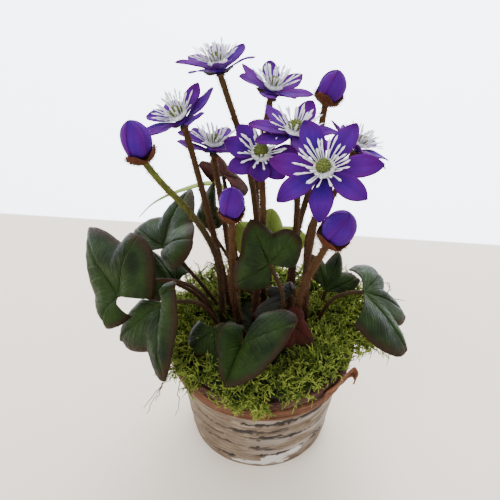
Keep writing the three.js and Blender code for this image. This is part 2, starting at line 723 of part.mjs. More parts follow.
function moss() {
  const leafRoom = Object.values(LEAVES).flat()
    .map((leaf) => toManifold(thicken(leafSurface(leaf), LEAF_THICKNESS + 2 * MOSS_CLEARANCE)));
  const room = [stalkHoles(MOSS_CLEARANCE, SOIL_TOP, RIM_TOP + 6), ...leafRoom];
  const whole = join([mossMound(), ...mossStrands()]);
  return largestPiece(whole.subtract(wasm.Manifold.union(room)));
}

// Meshes
function geometryOf(manifold) {
  const { vertProperties, triVerts } = manifold.getMesh();
  const geometry = new THREE.BufferGeometry();
  geometry.setAttribute("position", new THREE.BufferAttribute(new Float32Array(vertProperties), 3));
  geometry.setIndex(new THREE.BufferAttribute(new Uint32Array(triVerts), 1));
  return geometry;
}

const plant = new THREE.Group();

function addPiece(name, manifold, color, roughness = 0.8) {
  const material = new THREE.MeshStandardMaterial({ color, roughness, metalness: 0 });
  const mesh = new THREE.Mesh(geometryOf(manifold), material);
  mesh.name = name;
  plant.add(mesh);
}

addPiece("liner_cup", toManifold(linerCup()), COLOURS.liner);
addPiece("birch_bark_wrap", toManifold(barkWrap()), COLOURS.bark, 0.9);
addPiece("rim_strip_outer", toManifold(rimStrip(OUTER_STRIP)), COLOURS.stripOuter);
addPiece("rim_strip_middle", toManifold(rimStrip(MIDDLE_STRIP)), COLOURS.stripMiddle);
addPiece("rim_strip_inner", toManifold(rimInnerStrip()), COLOURS.stripInner);
addPiece("soil_filling", filling(), COLOURS.soil, 1);
addPiece("moss", moss(), COLOURS.moss, 1);

FLOWERS.forEach((flower, k) => {
  const name = `flower_${k + 1}`;
  const place = placeFacing(flower.at, flower.facing);
  const random = randomFrom(100 + k);
  addPiece(`${name}_stem`, join(flowerStem(flower)), COLOURS.stem);
  addPiece(`${name}_petals`, join(petalRing(flower, random).map(place)), COLOURS.petal, 0.6);
  addPiece(`${name}_stamens`, toManifold(place(stamenRing(flower, random))), COLOURS.stamen);
  addPiece(`${name}_carpels`, toManifold(place(carpelHead(flower))), COLOURS.head);
});

BUDS.forEach((bud, k) => {
  const name = `bud_${k + 1}`;
  addPiece(`${name}_stem`, join(budStem(bud)), COLOURS.stem);
  addPiece(`${name}_tepals`, toManifold(placeFacing(bud.at, bud.facing)(budEgg(bud))), COLOURS.petal, 0.6);
});

const LEAF_COLOURS = { leaf_back_centre: COLOURS.leafPale, small_leaves_front: COLOURS.leafYoung };
for (const [name, leaves] of Object.entries(LEAVES)) {
  addPiece(name, join(leaves.flatMap(leafSolids)), LEAF_COLOURS[name] ?? COLOURS.leaf, 0.6);
}
addPiece("leaf_strap", join(strapSolids()), COLOURS.strap, 0.6);

export default plant;
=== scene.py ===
import math

import bpy
import numpy as np
from mathutils import Matrix, Vector


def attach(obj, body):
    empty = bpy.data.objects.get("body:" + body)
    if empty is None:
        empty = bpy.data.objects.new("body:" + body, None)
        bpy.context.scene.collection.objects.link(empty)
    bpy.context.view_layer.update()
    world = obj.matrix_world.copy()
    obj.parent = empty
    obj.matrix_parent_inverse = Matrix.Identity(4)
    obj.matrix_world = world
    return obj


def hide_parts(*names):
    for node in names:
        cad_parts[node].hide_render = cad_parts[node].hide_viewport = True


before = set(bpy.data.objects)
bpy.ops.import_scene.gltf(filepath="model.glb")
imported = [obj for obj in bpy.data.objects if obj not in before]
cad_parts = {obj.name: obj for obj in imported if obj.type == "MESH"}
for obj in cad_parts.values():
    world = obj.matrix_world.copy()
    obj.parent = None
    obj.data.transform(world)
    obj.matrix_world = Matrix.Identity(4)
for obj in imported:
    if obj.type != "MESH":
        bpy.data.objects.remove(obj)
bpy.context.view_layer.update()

MM = 0.001
BODY = "root"

# The pot, as in the part's source
BASE_RADIUS = 38.0
BARK_TOP_RADIUS = 46.2
BARK_HEIGHT = 61.0
BARK_THICKNESS = 1.7
RIM_TOP = 66.0
OUTER_STRIP = dict(clear=0.5, low=48.6, high=55.4, thickness=1.9, wander=0.7, turns=3, phase=0.4)
MIDDLE_STRIP = dict(clear=0.5, low=57.3, high=63.6, thickness=2.2, wander=0.5, turns=2, phase=2.0)

# The plant, as in the part's source
STRAIGHT_TOP = 71.0
SOCKET_FLOOR = 30.0
STEM_RADIUS = 1.5
PETIOLE_RADIUS = 1.0
PETAL_START = 2.5
STEM_TOP = -2.6
GOLDEN_TURN = 2.39996
LOBE_BEARING = 75.0
BLADE_END = 140.0
WIDEST_BEARING = 165.0
NOTCH_REACH = 0.68
BASE_REACH = 0.6
LOBE_BOW = 0.1
BACK_BOW = 0.3

# Each flower: centre of its petal hub, facing direction, rise of the petals in degrees, petal length,
# petal bearings in degrees round the axis, where the stem enters the filling and where it passes
FLOWERS = [
    dict(at=(-22, 15, 206), facing=(-0.2, 0.1, 0.97), rise=22, petal=20,
         bearings=(337, 52, 92, 137, 186, 232, 285),
         root=(-4, 15), via=((-3, 14.5, 115), (-8.5, 15, 158))),
    dict(at=(-38, 0, 188.5), facing=(-0.44, -0.11, 0.89), rise=17, petal=20,
         bearings=(150, 188, 230, 313, 14, 50, 110),
         root=(-17, 12), via=((-23, 8, 110), (-32, 2.5, 162))),
    dict(at=(-25, 14, 168), facing=(0.08, 0.1, 0.99), rise=17, petal=19,
         bearings=(202, 125, 72, 40, 318, 284, 165), root=(-14, 18), via=((-19.5, 16, 120),)),
    dict(at=(-3, -12, 178), facing=(0, -0.56, 0.83), rise=20, petal=17.5,
         bearings=(129, 172, 214, 265, 310, 352), root=(-4, 4), via=((-1.3, -14.5, 146),)),
    dict(at=(10.8, -11, 188.5), facing=(0.11, -0.19, 0.98), rise=9, petal=20.5,
         bearings=(131, 69, 184, 214, 286, 332, 15), root=(15, 8), via=((15, 4.5, 146),)),
    dict(at=(2, 27, 191), facing=(0.21, -0.05, 0.98), rise=21, petal=20,
         bearings=(150, 199, 44, 348, 255, 300, 98),
         root=(1, 20), via=((-3, 20.6, 122), (-4.5, 22, 143))),
    dict(at=(43.5, 22, 165.5), facing=(0.5, 0.13, 0.86), rise=12, petal=20,
         bearings=(308, 267, 53, 105, 191, 228, 10), root=(24, 11), via=((24, 17, 123), (34, 19, 140))),
    dict(at=(21.5, -38, 186), facing=(-0.23, -0.56, 0.79), rise=9, petal=23.5,
         bearings=(159, 204, 253, 307, 352, 46, 100),
         root=(23, 3), via=((20, -11, 107), (20.4, -22.5, 144))),
]

# Each bud: bottom of its calyx, direction it points in, size, and the route of its stem
BUDS = [
    dict(at=(-52, -20, 178), facing=(-0.25, 0, 1), radius=6.3, height=19, root=(-21, 4),
         via=((-23.5, -5, 119), (-33.5, -11, 146), (-46, -16, 166))),
    dict(at=(-15, -32, 158.5), facing=(0, -0.25, 1), radius=5.4, height=17, root=(-12, 1),
         via=((-15, -12, 103), (-15, -21, 129))),
    dict(at=(25, 10, 192), facing=(0.3, 0, 1), radius=5.9, height=16, root=(14, 17),
         via=((17, 15, 120), (21.5, 13, 150))),
    dict(at=(25.8, -38, 151.5), facing=(0.4, -0.25, 1), radius=6.9, height=18, root=(18, -5),
         via=((17.3, -19.7, 107), (20.4, -27.6, 126))),
]

# Each leaf: where the petiole meets the blade, the tips of its left, middle and right lobe,
# and the route of its petiole. The finish is green, young, purple or pale.
LEAVES = {
    "leaf_far_left": [
        dict(at=(-71, -15, 101), left=(-80, -20, 86), middle=(-92, 18, 118), right=(-60, -6, 131),
             root=(-23, -2), via=((-30, -4, 92), (-40, -8, 104), (-54, -12, 108)))],
    "leaf_low_left": [
        dict(at=(-48, -22, 103), left=(-42, -28, 117), middle=(-45, -55, 83.5), right=(-71, -22, 77),
             end=115, root=(-20, -7), via=((-32, -14, 96),))],
    "leaf_back_left_low": [
        dict(at=(-45, 5, 93), left=(-65, 4, 92), middle=(-60, 22, 102), right=(-47, 20, 99),
             end=120, root=(-26, 6), via=((-36, 6, 86),))],
    "leaf_back_left_high": [
        dict(at=(-51, 10, 112), left=(-68, 31, 110), middle=(-38, 33, 134), right=(-35, -5, 129),
             end=125, root=(-23, 13), via=((-35, 12, 91), (-46, 11, 107)))],
    "leaf_back_centre": [
        dict(at=(2, 32, 96), left=(-14, 35, 111), middle=(4, 39, 119), right=(22, 35, 106),
             root=(6, 27), via=((4, 30, 82),), finish="pale")],
    "leaf_centre": [
        dict(at=(2, -24, 129), left=(-14, -30, 122), middle=(-7, -18, 149), right=(12.5, -21, 145),
             root=(8, -10), via=((9, -14, 85), (9, -21, 108)))],
    "leaf_front": [
        dict(at=(-10, -36, 90), left=(14.3, -41, 107.5), middle=(-17.5, -54, 80), right=(-20, -36, 100),
             notch=0.82, root=(-9, -8), via=((-11, -20, 86), (-11, -30, 92)))],
    "leaf_front_left": [
        dict(at=(-24, -24, 88), left=(-12, -31, 83), middle=(-20, -43, 72), right=(-36, -27, 76),
             root=(-15, -7), via=((-20, -16, 84),))],
    "leaf_right": [
        dict(at=(50, -8, 100), left=(61, 12, 97), middle=(74, -2, 83), right=(71, -27, 78),
             notch=0.8, root=(29, 1), via=((36, -3, 91), (44, -6, 98)))],
    "leaf_back_right": [
        dict(at=(34, 12, 84), left=(28, 22, 100), middle=(41, 27, 99), right=(51, 19, 88),
             end=105, root=(30, 9), via=((32, 11, 76),))],
    "small_leaves_front": [
        dict(at=(12.5, -26, 95), left=(17, -20, 100), middle=(25.5, -28, 81.5), right=(12, -35, 88),
             end=105, root=(13, -6), via=((12, -18, 87),), finish="young"),
        dict(at=(7, -22, 83), left=(13, -26, 78), middle=(6, -36, 73), right=(-1, -26, 78),
             branch=(12.8, -9.5, 75.5), via=((10, -15, 78),)),
        dict(at=(14, -9, 98), left=(-4, -14, 91), middle=(3, -3, 98), right=(13, -1, 100),
             end=100, branch=(12.8, -10, 76.5), via=((14, -8, 84),), finish="purple")],
    "small_leaves_back": [
        dict(at=(-21, 24, 147), left=(-32, 25, 154), middle=(-24, 38, 152), right=(-9, 33, 136),
             root=(-11, 24), via=((-16, 25, 110), (-19, 24, 135)), finish="young"),
        dict(at=(-29, 21, 118), left=(-35, 23, 120), middle=(-26, 28, 141), right=(-24, 23, 126),
             branch=(-12.5, 24.3, 82), via=((-20, 23, 100),))],
}
STRAP_ROOT = (-5, 29)
STRAP_PATH = ((-5, 29, 71), (-10, 40, 104), (-24, 43, 131), (-46, 44, 126), (-60, 42, 119),
              (-68, 40, 111))
STRAP_WIDTH = 4.4

# Camera at the photograph's place
CAMERA_AT = (-7, -271, 316)
CAMERA_PITCH = 36.0
CAMERA_ROLL = 1.0
CAMERA_LENS = 48.96


# ---- Points, faces and paint values ----

class Skin:
    """The points, faces and paint values of one piece, gathered from its parts."""

    def __init__(self):
        self.points, self.quads, self.tris, self.uv, self.tone, self.side = [], [], [], [], [], []
        self.flat = []
        self.count = 0

    def add(self, points, quads, tris, uv, tone=0.0, side=0.0, flat=False):
        points = np.asarray(points, float).reshape(-1, 3)
        quads = np.asarray(quads, int).reshape(-1, 4)
        self.quads.append(quads + self.count)
        self.flat.append(np.broadcast_to(flat, (len(quads),)))
        self.tris.append(np.asarray(tris, int).reshape(-1, 3) + self.count)
        self.points.append(points)
        self.uv.append(np.broadcast_to(np.asarray(uv, float).reshape(-1, 2), (len(points), 2)))
        self.tone.append(np.broadcast_to(np.asarray(tone, float).ravel(), (len(points),)))
        self.side.append(np.broadcast_to(np.asarray(side, float).ravel(), (len(points),)))
        self.count += len(points)
        return self


def build_piece(name, skin, finish, slot, replaces=()):
    """One mesh object at the origin, from millimetres, with its UV map and its two paint attributes."""
    quads, tris = np.concatenate(skin.quads), np.concatenate(skin.tris)
    loops = np.concatenate([quads.ravel(), tris.ravel()])
    used, loops = np.unique(loops, return_inverse=True)
    points = np.concatenate(skin.points)[used] * MM
    smooth = np.concatenate([~np.concatenate(skin.flat), np.full(len(tris), True)])
    starts = np.concatenate([np.arange(len(quads)) * 4, len(quads) * 4 + np.arange(len(tris)) * 3])
    mesh = bpy.data.meshes.new(name)
    mesh.vertices.add(len(points))
    mesh.vertices.foreach_set("co", points.ravel())
    mesh.loops.add(len(loops))
    mesh.loops.foreach_set("vertex_index", loops.astype(np.int32))
    mesh.polygons.add(len(starts))
    mesh.polygons.foreach_set("loop_start", starts.astype(np.int32))
    mesh.polygons.foreach_set("use_smooth", smooth)
    mesh.update(calc_edges=True)
    layer = mesh.uv_layers.new(name="UVMap")
    layer.data.foreach_set("uv", np.concatenate(skin.uv)[used][loops].ravel().astype(np.float32))
    for label, values in (("tone", skin.tone), ("side", skin.side)):
        attribute = mesh.attributes.new(label, "FLOAT", "POINT")
        attribute.data.foreach_set("value", np.concatenate(values)[used].astype(np.float32))
    mesh.materials.append(finish)
    mesh.validate()
    piece = bpy.data.objects.new(name, mesh)
    bpy.context.scene.collection.objects.link(piece)
    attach(piece, BODY)
    if replaces:
        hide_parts(*replaces)
    return piece


def unit(v):
    """Vectors of length one along the last axis."""
    return v / np.maximum(np.linalg.norm(v, axis=-1, keepdims=True), 1e-12)


def grid_of(*values):
    """Values spread over one common grid and set side by side along a new last axis."""
    return np.stack(np.broadcast_arrays(*values), axis=-1)


def bearings(count):
    """Evenly spaced bearings once round, in radians."""
    return np.arange(count) / count * 2 * np.pi


def ease(x, low=0.0, high=1.0):
    """0 below low, 1 above high, and a smooth rise between them."""
    t = np.clip((x - low) / (high - low), 0, 1)
    return t * t * (3 - 2 * t)


def grain(u, v, across, along, seed, octaves=3):
    """Smooth random relief from -1 to 1 that repeats once round in u: random values on a lattice of
    across by along cells, eased between, with finer lattices added at half strength each."""
    rng = np.random.default_rng(seed)
    u, v = np.broadcast_arrays(np.asarray(u, float), np.asarray(v, float))
    total, strength, full = np.zeros(u.shape), 1.0, 0.0
    for octave in range(octaves):
        nx, ny = across * 2 ** octave, along * 2 ** octave
        table = rng.uniform(-1, 1, (nx, ny + 2))
        x, y = (u % 1.0) * nx, np.clip(v, 0, 1) * ny
        i, j = np.floor(x).astype(int), np.floor(y).astype(int)
        fx, fy = ease(x - i), ease(y - j)
        i0, i1 = i % nx, (i + 1) % nx
        low = table[i0, j] * (1 - fx) + table[i1, j] * fx
        high = table[i0, j + 1] * (1 - fx) + table[i1, j + 1] * fx
        total += strength * (low * (1 - fy) + high * fy)
        full += strength
        strength *= 0.5
    return total / full


def grid_faces(rows, columns, wrap_rows=False, wrap_columns=False):
    """Quads of a grid of points, row by row, joined round where a direction wraps."""
    i = np.arange(rows if wrap_rows else rows - 1)[:, None]
    j = np.arange(columns if wrap_columns else columns - 1)[None, :]
    i2, j2 = (i + 1) % rows, (j + 1) % columns
    a, b, c, d = i * columns + j, i2 * columns + j, i2 * columns + j2, i * columns + j2
    return grid_of(a, b, c, d).reshape(-1, 4)


def surface_normals(points):
    """Unit normals of a grid surface: the step along the rows crossed with the step along the columns."""
    return unit(np.cross(np.gradient(points, axis=0), np.gradient(points, axis=1)))


def plate(points, thickness, uv, tone=0.0, pole=False, under=1.0):
    """A closed plate: the grid surface moved half a thickness each way along its normals, with its
    border walled up. The normals of the top follow rows crossed with columns. With a pole the whole
    first row is one point. The side value is 0 on top and under on the bottom."""
    rows, columns = points.shape[:2]
    normals = surface_normals(points)
    if pole:
        normals[0] = unit(normals[1].mean(axis=0))
    half = np.broadcast_to(np.asarray(thickness, float) / 2, (rows, columns))[..., None]
    top, bottom = points + normals * half, points - normals * half
    index = np.arange(rows * columns).reshape(rows, columns)
    if pole:
        index = index.copy()
        index[0] = 0
    n = rows * columns
    a, b, c, d = index[:-1, :-1], index[1:, :-1], index[1:, 1:], index[:-1, 1:]
    first = 1 if pole else 0
    quads = np.stack([a[first:], b[first:], c[first:], d[first:]], axis=-1).reshape(-1, 4)
    tris = np.stack([a[0], b[0], c[0]], axis=-1) if pole else np.zeros((0, 3), int)
    start = np.concatenate([index[:-1, 0], index[-1, :-1], index[1:, -1]])
    stop = np.concatenate([index[1:, 0], index[-1, 1:], index[:-1, -1]])
    if not pole:
        start, stop = np.concatenate([start, index[0, 1:]]), np.concatenate([stop, index[0, :-1]])
    walls = np.stack([stop, start, start + n, stop + n], axis=-1)
    uv = np.broadcast_to(uv, (rows, columns, 2)).reshape(-1, 2)
    tone = np.broadcast_to(np.asarray(tone, float), (rows, columns)).ravel()
    flat = np.concatenate([np.zeros(2 * len(quads), bool), np.ones(len(walls), bool)])
    return dict(
        points=np.concatenate([top.reshape(-1, 3), bottom.reshape(-1, 3)]), flat=flat,
        quads=np.concatenate([quads, quads[:, ::-1] + n, walls]),
        tris=np.concatenate([tris, tris[:, ::-1] + n]),
        uv=np.concatenate([uv, uv]), tone=np.concatenate([tone, tone]),
        side=np.concatenate([np.zeros(n), np.full(n, under)]))


def end_caps(steps, sides):
    """Triangles that close the first and the last ring of a tube, fanned from one point of each."""
    fan, last = np.arange(1, sides - 1), (steps - 1) * sides
    return np.concatenate([np.stack([0 * fan, fan + 1, fan], axis=-1),
                           np.stack([0 * fan, fan, fan + 1], axis=-1) + last])


def tubes(paths, radii, sides, flat=1.0, tone=0.0, turn=0.0, across=None):
    """Closed tubes along many paths of the same number of points: at each point a ring of the given
    radius stands square to the path, flattened by flat square to the across directions, if any. UV runs
    round and along the tube."""
    paths = np.asarray(paths, float)
    count, steps = paths.shape[:2]
    radii = np.broadcast_to(radii, (count, steps))
    tangent = unit(np.gradient(paths, axis=1))
    if across is None:
        across = np.eye(3)[np.abs(tangent.mean(axis=1)).argmin(axis=1)]
    across = across[:, None, :]
    side = unit(across - tangent * (across * tangent).sum(axis=-1, keepdims=True))
    up = np.cross(tangent, side)
    angle = bearings(sides) + turn
    ring = (side[:, :, None] * np.cos(angle)[:, None] + up[:, :, None] * np.sin(angle)[:, None] * flat)
    points = paths[:, :, None] + ring * radii[:, :, None, None]
    i, k = np.arange(steps - 1)[:, None], np.arange(sides)[None, :]
    k2 = (k + 1) % sides
    near, far = i * sides, (i + 1) * sides
    quads = grid_of(near + k, near + k2, far + k2, far + k).reshape(-1, 4)
    tris = end_caps(steps, sides)
    shift = (np.arange(count) * steps * sides)[:, None, None]
    u = np.broadcast_to(np.arange(sides) / sides, (count, steps, sides))
    v = np.broadcast_to(np.linspace(0, 1, steps)[None, :, None], (count, steps, sides))
    tone = np.broadcast_to(np.asarray(tone, float).reshape(-1, 1, 1), (count, steps, sides))
    return dict(points=points.reshape(-1, 3), quads=(quads + shift).reshape(-1, 4),
                tris=(tris + shift).reshape(-1, 3), uv=np.stack([u, v], axis=-1).reshape(-1, 2),
                tone=tone.ravel())


def turned(profile, sides, tone=0.0):
    """A closed solid turned about the Z axis: a profile of radius and height, from its bottom to its top,
    with a small flat at each end."""
    radius, height = np.asarray(profile, float).T
    angle = bearings(sides)
    points = np.stack([radius[:, None] * np.cos(angle), radius[:, None] * np.sin(angle),
                       np.repeat(height[:, None], sides, axis=1)], axis=-1)
    steps = len(radius)
    quads = grid_faces(steps, sides, wrap_columns=True)[:, ::-1]
    tris = end_caps(steps, sides)
    u = np.broadcast_to(np.arange(sides) / sides, (steps, sides))
    v = np.broadcast_to(np.linspace(0, 1, steps)[:, None], (steps, sides))
    return dict(points=points.reshape(-1, 3), quads=quads, tris=tris,
                uv=np.stack([u, v], axis=-1).reshape(-1, 2), tone=tone)


def ring_wall(radius, height, uv, tone=0.0, side=0.0):
    """A wall bent round the Z axis: rows go round, columns go round its section, and both close up.
    radius and height hold one value for each row and column."""
    rows, columns = radius.shape
    turn = bearings(rows)[:, None]
    points = np.stack([radius * np.cos(turn), radius * np.sin(turn), height], axis=-1)
    return dict(points=points.reshape(-1, 3), quads=grid_faces(rows, columns, True, True), tris=[],
                uv=uv.reshape(-1, 2), tone=tone, side=side)


def moved(part, matrix):
    """The same part with its points set in other axes: matrix holds the three axes and the place."""
    axes, at = matrix
    return dict(part, points=part["points"] @ axes + at)


def flat_axes(turn):
    """The directions out from the Z axis and across, at a bearing, in X and Y."""
    out = np.array([math.cos(turn), math.sin(turn)])
    return out, np.array([-out[1], out[0]])


def facing_axes(at, facing):
    """Axes of a piece that faces along a direction, as rows: across, along and the direction itself."""
    normal = unit(np.asarray(facing, float))
    across = unit(np.cross((0, 1, 0), normal))
    return np.array([across, np.cross(normal, across), normal]), np.asarray(at, float)


def along_path(values, at, wanted):
    """The points or directions of a path, read off at other shares of its length."""
    return np.stack([np.interp(wanted, at, values[:, axis]) for axis in range(3)], axis=-1)


def smooth_path(points, count):
    """A smooth curve through the points, with evenly spaced steps: between two points it is the cubic
    whose end slopes come from the neighbours, weighted by the square roots of the distances."""
    p = np.asarray(points, float)
    p = np.concatenate([[2 * p[0] - p[1]], p, [2 * p[-1] - p[-2]]])
    t = np.linspace(0, 1, 25)[:, None]
    pieces = []
    for x0, x1, x2, x3 in zip(p[:-3], p[1:-2], p[2:-1], p[3:]):
        d0, d1, d2 = (np.linalg.norm(b - a) ** 0.5 for a, b in ((x0, x1), (x1, x2), (x2, x3)))
        m1 = ((x1 - x0) / d0 - (x2 - x0) / (d0 + d1) + (x2 - x1) / d1) * d1
        m2 = ((x2 - x1) / d1 - (x3 - x1) / (d1 + d2) + (x3 - x2) / d2) * d1
        pieces.append(x1 + m1 * t + (3 * (x2 - x1) - 2 * m1 - m2) * t ** 2
                      + (2 * (x1 - x2) + m1 + m2) * t ** 3)
    fine = np.concatenate([pieces[0]] + [piece[1:] for piece in pieces[1:]])
    run = np.concatenate([[0], np.cumsum(np.linalg.norm(np.diff(fine, axis=0), axis=1))])
    even = np.linspace(0, run[-1], count)
    return along_path(fine, run, even)


def hairs(points, outward, length, thickness, seed, droop=0.0):
    """Fine hairs: three-sided spikes with their feet at the points, leaning at random off the outward
    directions. They are drawn as narrow pyramids."""
    rng = np.random.default_rng(seed)
    count = len(points)
    way = unit(outward + rng.normal(0, 0.35, (count, 3)) + np.array([0, 0, droop]))
    reach = length * rng.uniform(0.45, 1.15, (count, 1))
    side = unit(np.cross(way, rng.normal(0, 1, (count, 3))))
    other = np.cross(way, side)
    corners = [points + thickness * (side * math.cos(a) + other * math.sin(a)) for a in (0, 2.1, 4.2)]
    solid = np.stack(corners + [points + way * reach], axis=1)
    base = np.arange(count)[:, None, None] * 4
    tris = np.array([[0, 1, 3], [1, 2, 3], [2, 0, 3], [0, 2, 1]])[None] + base
    uv = np.tile(np.array([[0, 0], [0, 0], [0, 0], [0, 1.0]]), (count, 1))
    return dict(points=solid.reshape(-1, 3), quads=[], tris=tris.reshape(-1, 3), uv=uv, tone=1.0)


def source_random(seed):
    """The same repeatable numbers from 0 to 1 as in the part's source."""
    state = seed
    while True:
        state = (state * 1664525 + 1013904223) & 0xFFFFFFFF
        yield state / 4294967296


# ---- Finishes ----

def paint(red, green, blue):
    """A colour given as it looks on a screen, from 0 to 255, in the linear values that shaders use."""
    c = np.array([red, green, blue]) / 255
    return (*np.where(c <= 0.04045, c / 12.92, ((c + 0.055) / 1.055) ** 2.4).tolist(), 1.0)


def node(tree, kind, joins=None, **settings):
    """One shader node: its settings, then each input set to a value or joined to another node's output."""
    new = tree.nodes.new(kind)
    for key, value in settings.items():
        setattr(new, key, value)
    for key, value in (joins or {}).items():
        if isinstance(value, bpy.types.NodeSocket):
            tree.links.new(value, new.inputs[key])
        else:
            new.inputs[key].default_value = value
    return new


def calc(tree, operation, a, b=0.0, clamp=False):
    """One sum, product or other step on two values."""
    return node(tree, "ShaderNodeMath", {0: a, 1: b}, operation=operation, use_clamp=clamp).outputs[0]


def blend(tree, factor, a, b, kind="MIX"):
    """Colour a painted over with colour b by the factor."""
    mix = node(tree, "ShaderNodeMix", {0: factor, 6: a, 7: b}, data_type="RGBA", blend_type=kind)
    return mix.outputs[2]


def ramp(tree, factor, *stops):
    """Colours along a factor: each stop is a place from 0 to 1 and a colour."""
    new = node(tree, "ShaderNodeValToRGB", {0: factor})
    points = new.color_ramp.elements
    while len(points) < len(stops):
        points.new(0.5)
    for point, (place, colour) in zip(points, stops):
        point.position, point.color = place, colour
    return new.outputs[0]


def band(tree, value, low, high, bottom=0.0, top=1.0):
    """A smooth step of the value from low to high."""
    return node(tree, "ShaderNodeMapRange", {0: value, 1: low, 2: high, 3: bottom, 4: top},
                interpolation_type="SMOOTHSTEP").outputs[0]


def noise(tree, vector, scale, detail=3.0, rough=0.55):
    """Cloudy noise from 0 to 1."""
    return node(tree, "ShaderNodeTexNoise", {"Vector": vector, "Scale": scale, "Detail": detail,
                                             "Roughness": rough}).outputs["Fac"]


def stretched(tree, vector, x, y, z=1.0):
    """A vector with each of its parts made longer or shorter."""
    scaled = node(tree, "ShaderNodeVectorMath", {0: vector, 1: (x, y, z)}, operation="MULTIPLY")
    return scaled.outputs[0]


def effect(name, inputs, outputs):
    """An empty shader node group with named inputs and outputs."""
    group = bpy.data.node_groups.new(name, "ShaderNodeTree")
    for label, kind, value in inputs:
        socket = group.interface.new_socket(label, in_out="INPUT", socket_type=kind)
        if value is not None:
            socket.default_value = value
    for label, kind in outputs:
        group.interface.new_socket(label, in_out="OUTPUT", socket_type=kind)
    return group, group.nodes.new("NodeGroupInput"), group.nodes.new("NodeGroupOutput")


def use(tree, group, **joins):
    """One use of an effect in a material. Words in input names are joined by underscores here."""
    return node(tree, "ShaderNodeGroup", {key.replace("_", " "): value for key, value in joins.items()},
                node_tree=group).outputs


FLOAT, COLOUR, VECTOR = "NodeSocketFloat", "NodeSocketColor", "NodeSocketVector"


def make_cloth_weave():
    """Crossed fine threads in object space, for petal and leaf cloth: the height of the weave."""
    group, start, end = effect("cloth weave", [("Vector", VECTOR, None), ("Threads", FLOAT, 2200.0)],
                               [("Height", FLOAT)])
    parts = node(group, "ShaderNodeSeparateXYZ", {0: start.outputs["Vector"]})
    waves = []
    for a, b in (("X", "Z"), ("Y", "X"), ("Z", "Y")):
        slant = calc(group, "ADD", parts.outputs[a], calc(group, "MULTIPLY", parts.outputs[b], 0.35))
        waves.append(calc(group, "SINE", calc(group, "MULTIPLY", slant, start.outputs["Threads"])))
    total = calc(group, "ADD", calc(group, "MULTIPLY", waves[0], waves[1]), waves[2])
    group.links.new(calc(group, "MULTIPLY", total, 0.5), end.inputs["Height"])
    return group


def make_blotches():
    """Soft uneven patches of wear or dye in object space, from 0 to 1, with a fine grain on top."""
    group, start, end = effect("dye blotches", [("Vector", VECTOR, None), ("Scale", FLOAT, 120.0)],
                               [("Patches", FLOAT), ("Grain", FLOAT)])
    patches = noise(group, start.outputs["Vector"], start.outputs["Scale"])
    fine = calc(group, "MULTIPLY", start.outputs["Scale"], 9.0)
    group.links.new(band(group, patches, 0.32, 0.68), end.inputs["Patches"])
    group.links.new(noise(group, start.outputs["Vector"], fine, 2.0), end.inputs["Grain"])
    return group


def make_streaks():
    """Long fibres that run along U of the piece's own map: their brightness and height from 0 to 1."""
    group, start, end = effect("bark fibres", [("UV", VECTOR, None), ("Along", FLOAT, 8.0),
                                               ("Across", FLOAT, 90.0)], [("Fibres", FLOAT)])
    parts = node(group, "ShaderNodeSeparateXYZ", {0: start.outputs["UV"]})
    vector = node(group, "ShaderNodeCombineXYZ", {
        0: calc(group, "MULTIPLY", parts.outputs[0], start.outputs["Along"]),
        1: calc(group, "MULTIPLY", parts.outputs[1], start.outputs["Across"])})
    group.links.new(noise(group, vector.outputs[0], 1.0, 5.0, 0.65), end.inputs["Fibres"])
    return group


def make_leaf_veins():
    """The print of a three-lobed leaf on its own map: U is the bearing from the middle lobe, V the
    distance from the petiole. Each lobe has a middle vein and slanting side veins. Margin rises from 0
    to 1 at the edge."""
    group, start, end = effect("leaf veins", [("UV", VECTOR, None), ("Wander", FLOAT, 0.5)],
                               [("Veins", FLOAT), ("Side Veins", FLOAT), ("Margin", FLOAT)])
    parts = node(group, "ShaderNodeSeparateXYZ", {0: start.outputs["UV"]})
    u, v = parts.outputs[0], parts.outputs[1]
    lobes = calc(group, "MULTIPLY", calc(group, "SUBTRACT", u, 0.5), 4.0)
    nearest = calc(group, "MINIMUM", calc(group, "MAXIMUM", calc(group, "ROUND", lobes), -1.0), 1.0)
    off = calc(group, "ABSOLUTE", calc(group, "SUBTRACT", lobes, nearest))
    aside = calc(group, "MULTIPLY", calc(group, "SINE", calc(group, "MULTIPLY", off, 1.3)), v)
    along = calc(group, "MULTIPLY", calc(group, "COSINE", calc(group, "MULTIPLY", off, 1.3)), v)
    wander = calc(group, "MULTIPLY", calc(group, "SUBTRACT", start.outputs["Wander"], 0.5), 0.05)
    bent = calc(group, "ADD", aside, wander)
    middle = band(group, calc(group, "ABSOLUTE", bent), 0.006, 0.032, 1.0, 0.0)
    slant = calc(group, "SUBTRACT", along, calc(group, "MULTIPLY", bent, 1.15))
    step = calc(group, "FRACT", calc(group, "ADD", calc(group, "DIVIDE", slant, 0.17), 8.0))
    side = band(group, calc(group, "ABSOLUTE", calc(group, "SUBTRACT", step, 0.5)), 0.03, 0.13, 1.0, 0.0)
    fade = band(group, v, 0.95, 0.5)
    group.links.new(middle, end.inputs["Veins"])
    group.links.new(calc(group, "MULTIPLY", side, fade), end.inputs["Side Veins"])
    edge = calc(group, "ADD", v, calc(group, "MULTIPLY", wander, 1.6))
    group.links.new(band(group, edge, 0.8, 0.99), end.inputs["Margin"])
    return group


CLOTH_WEAVE = make_cloth_weave()
BLOTCHES = make_blotches()
BARK_FIBRES = make_streaks()
LEAF_VEINS = make_leaf_veins()


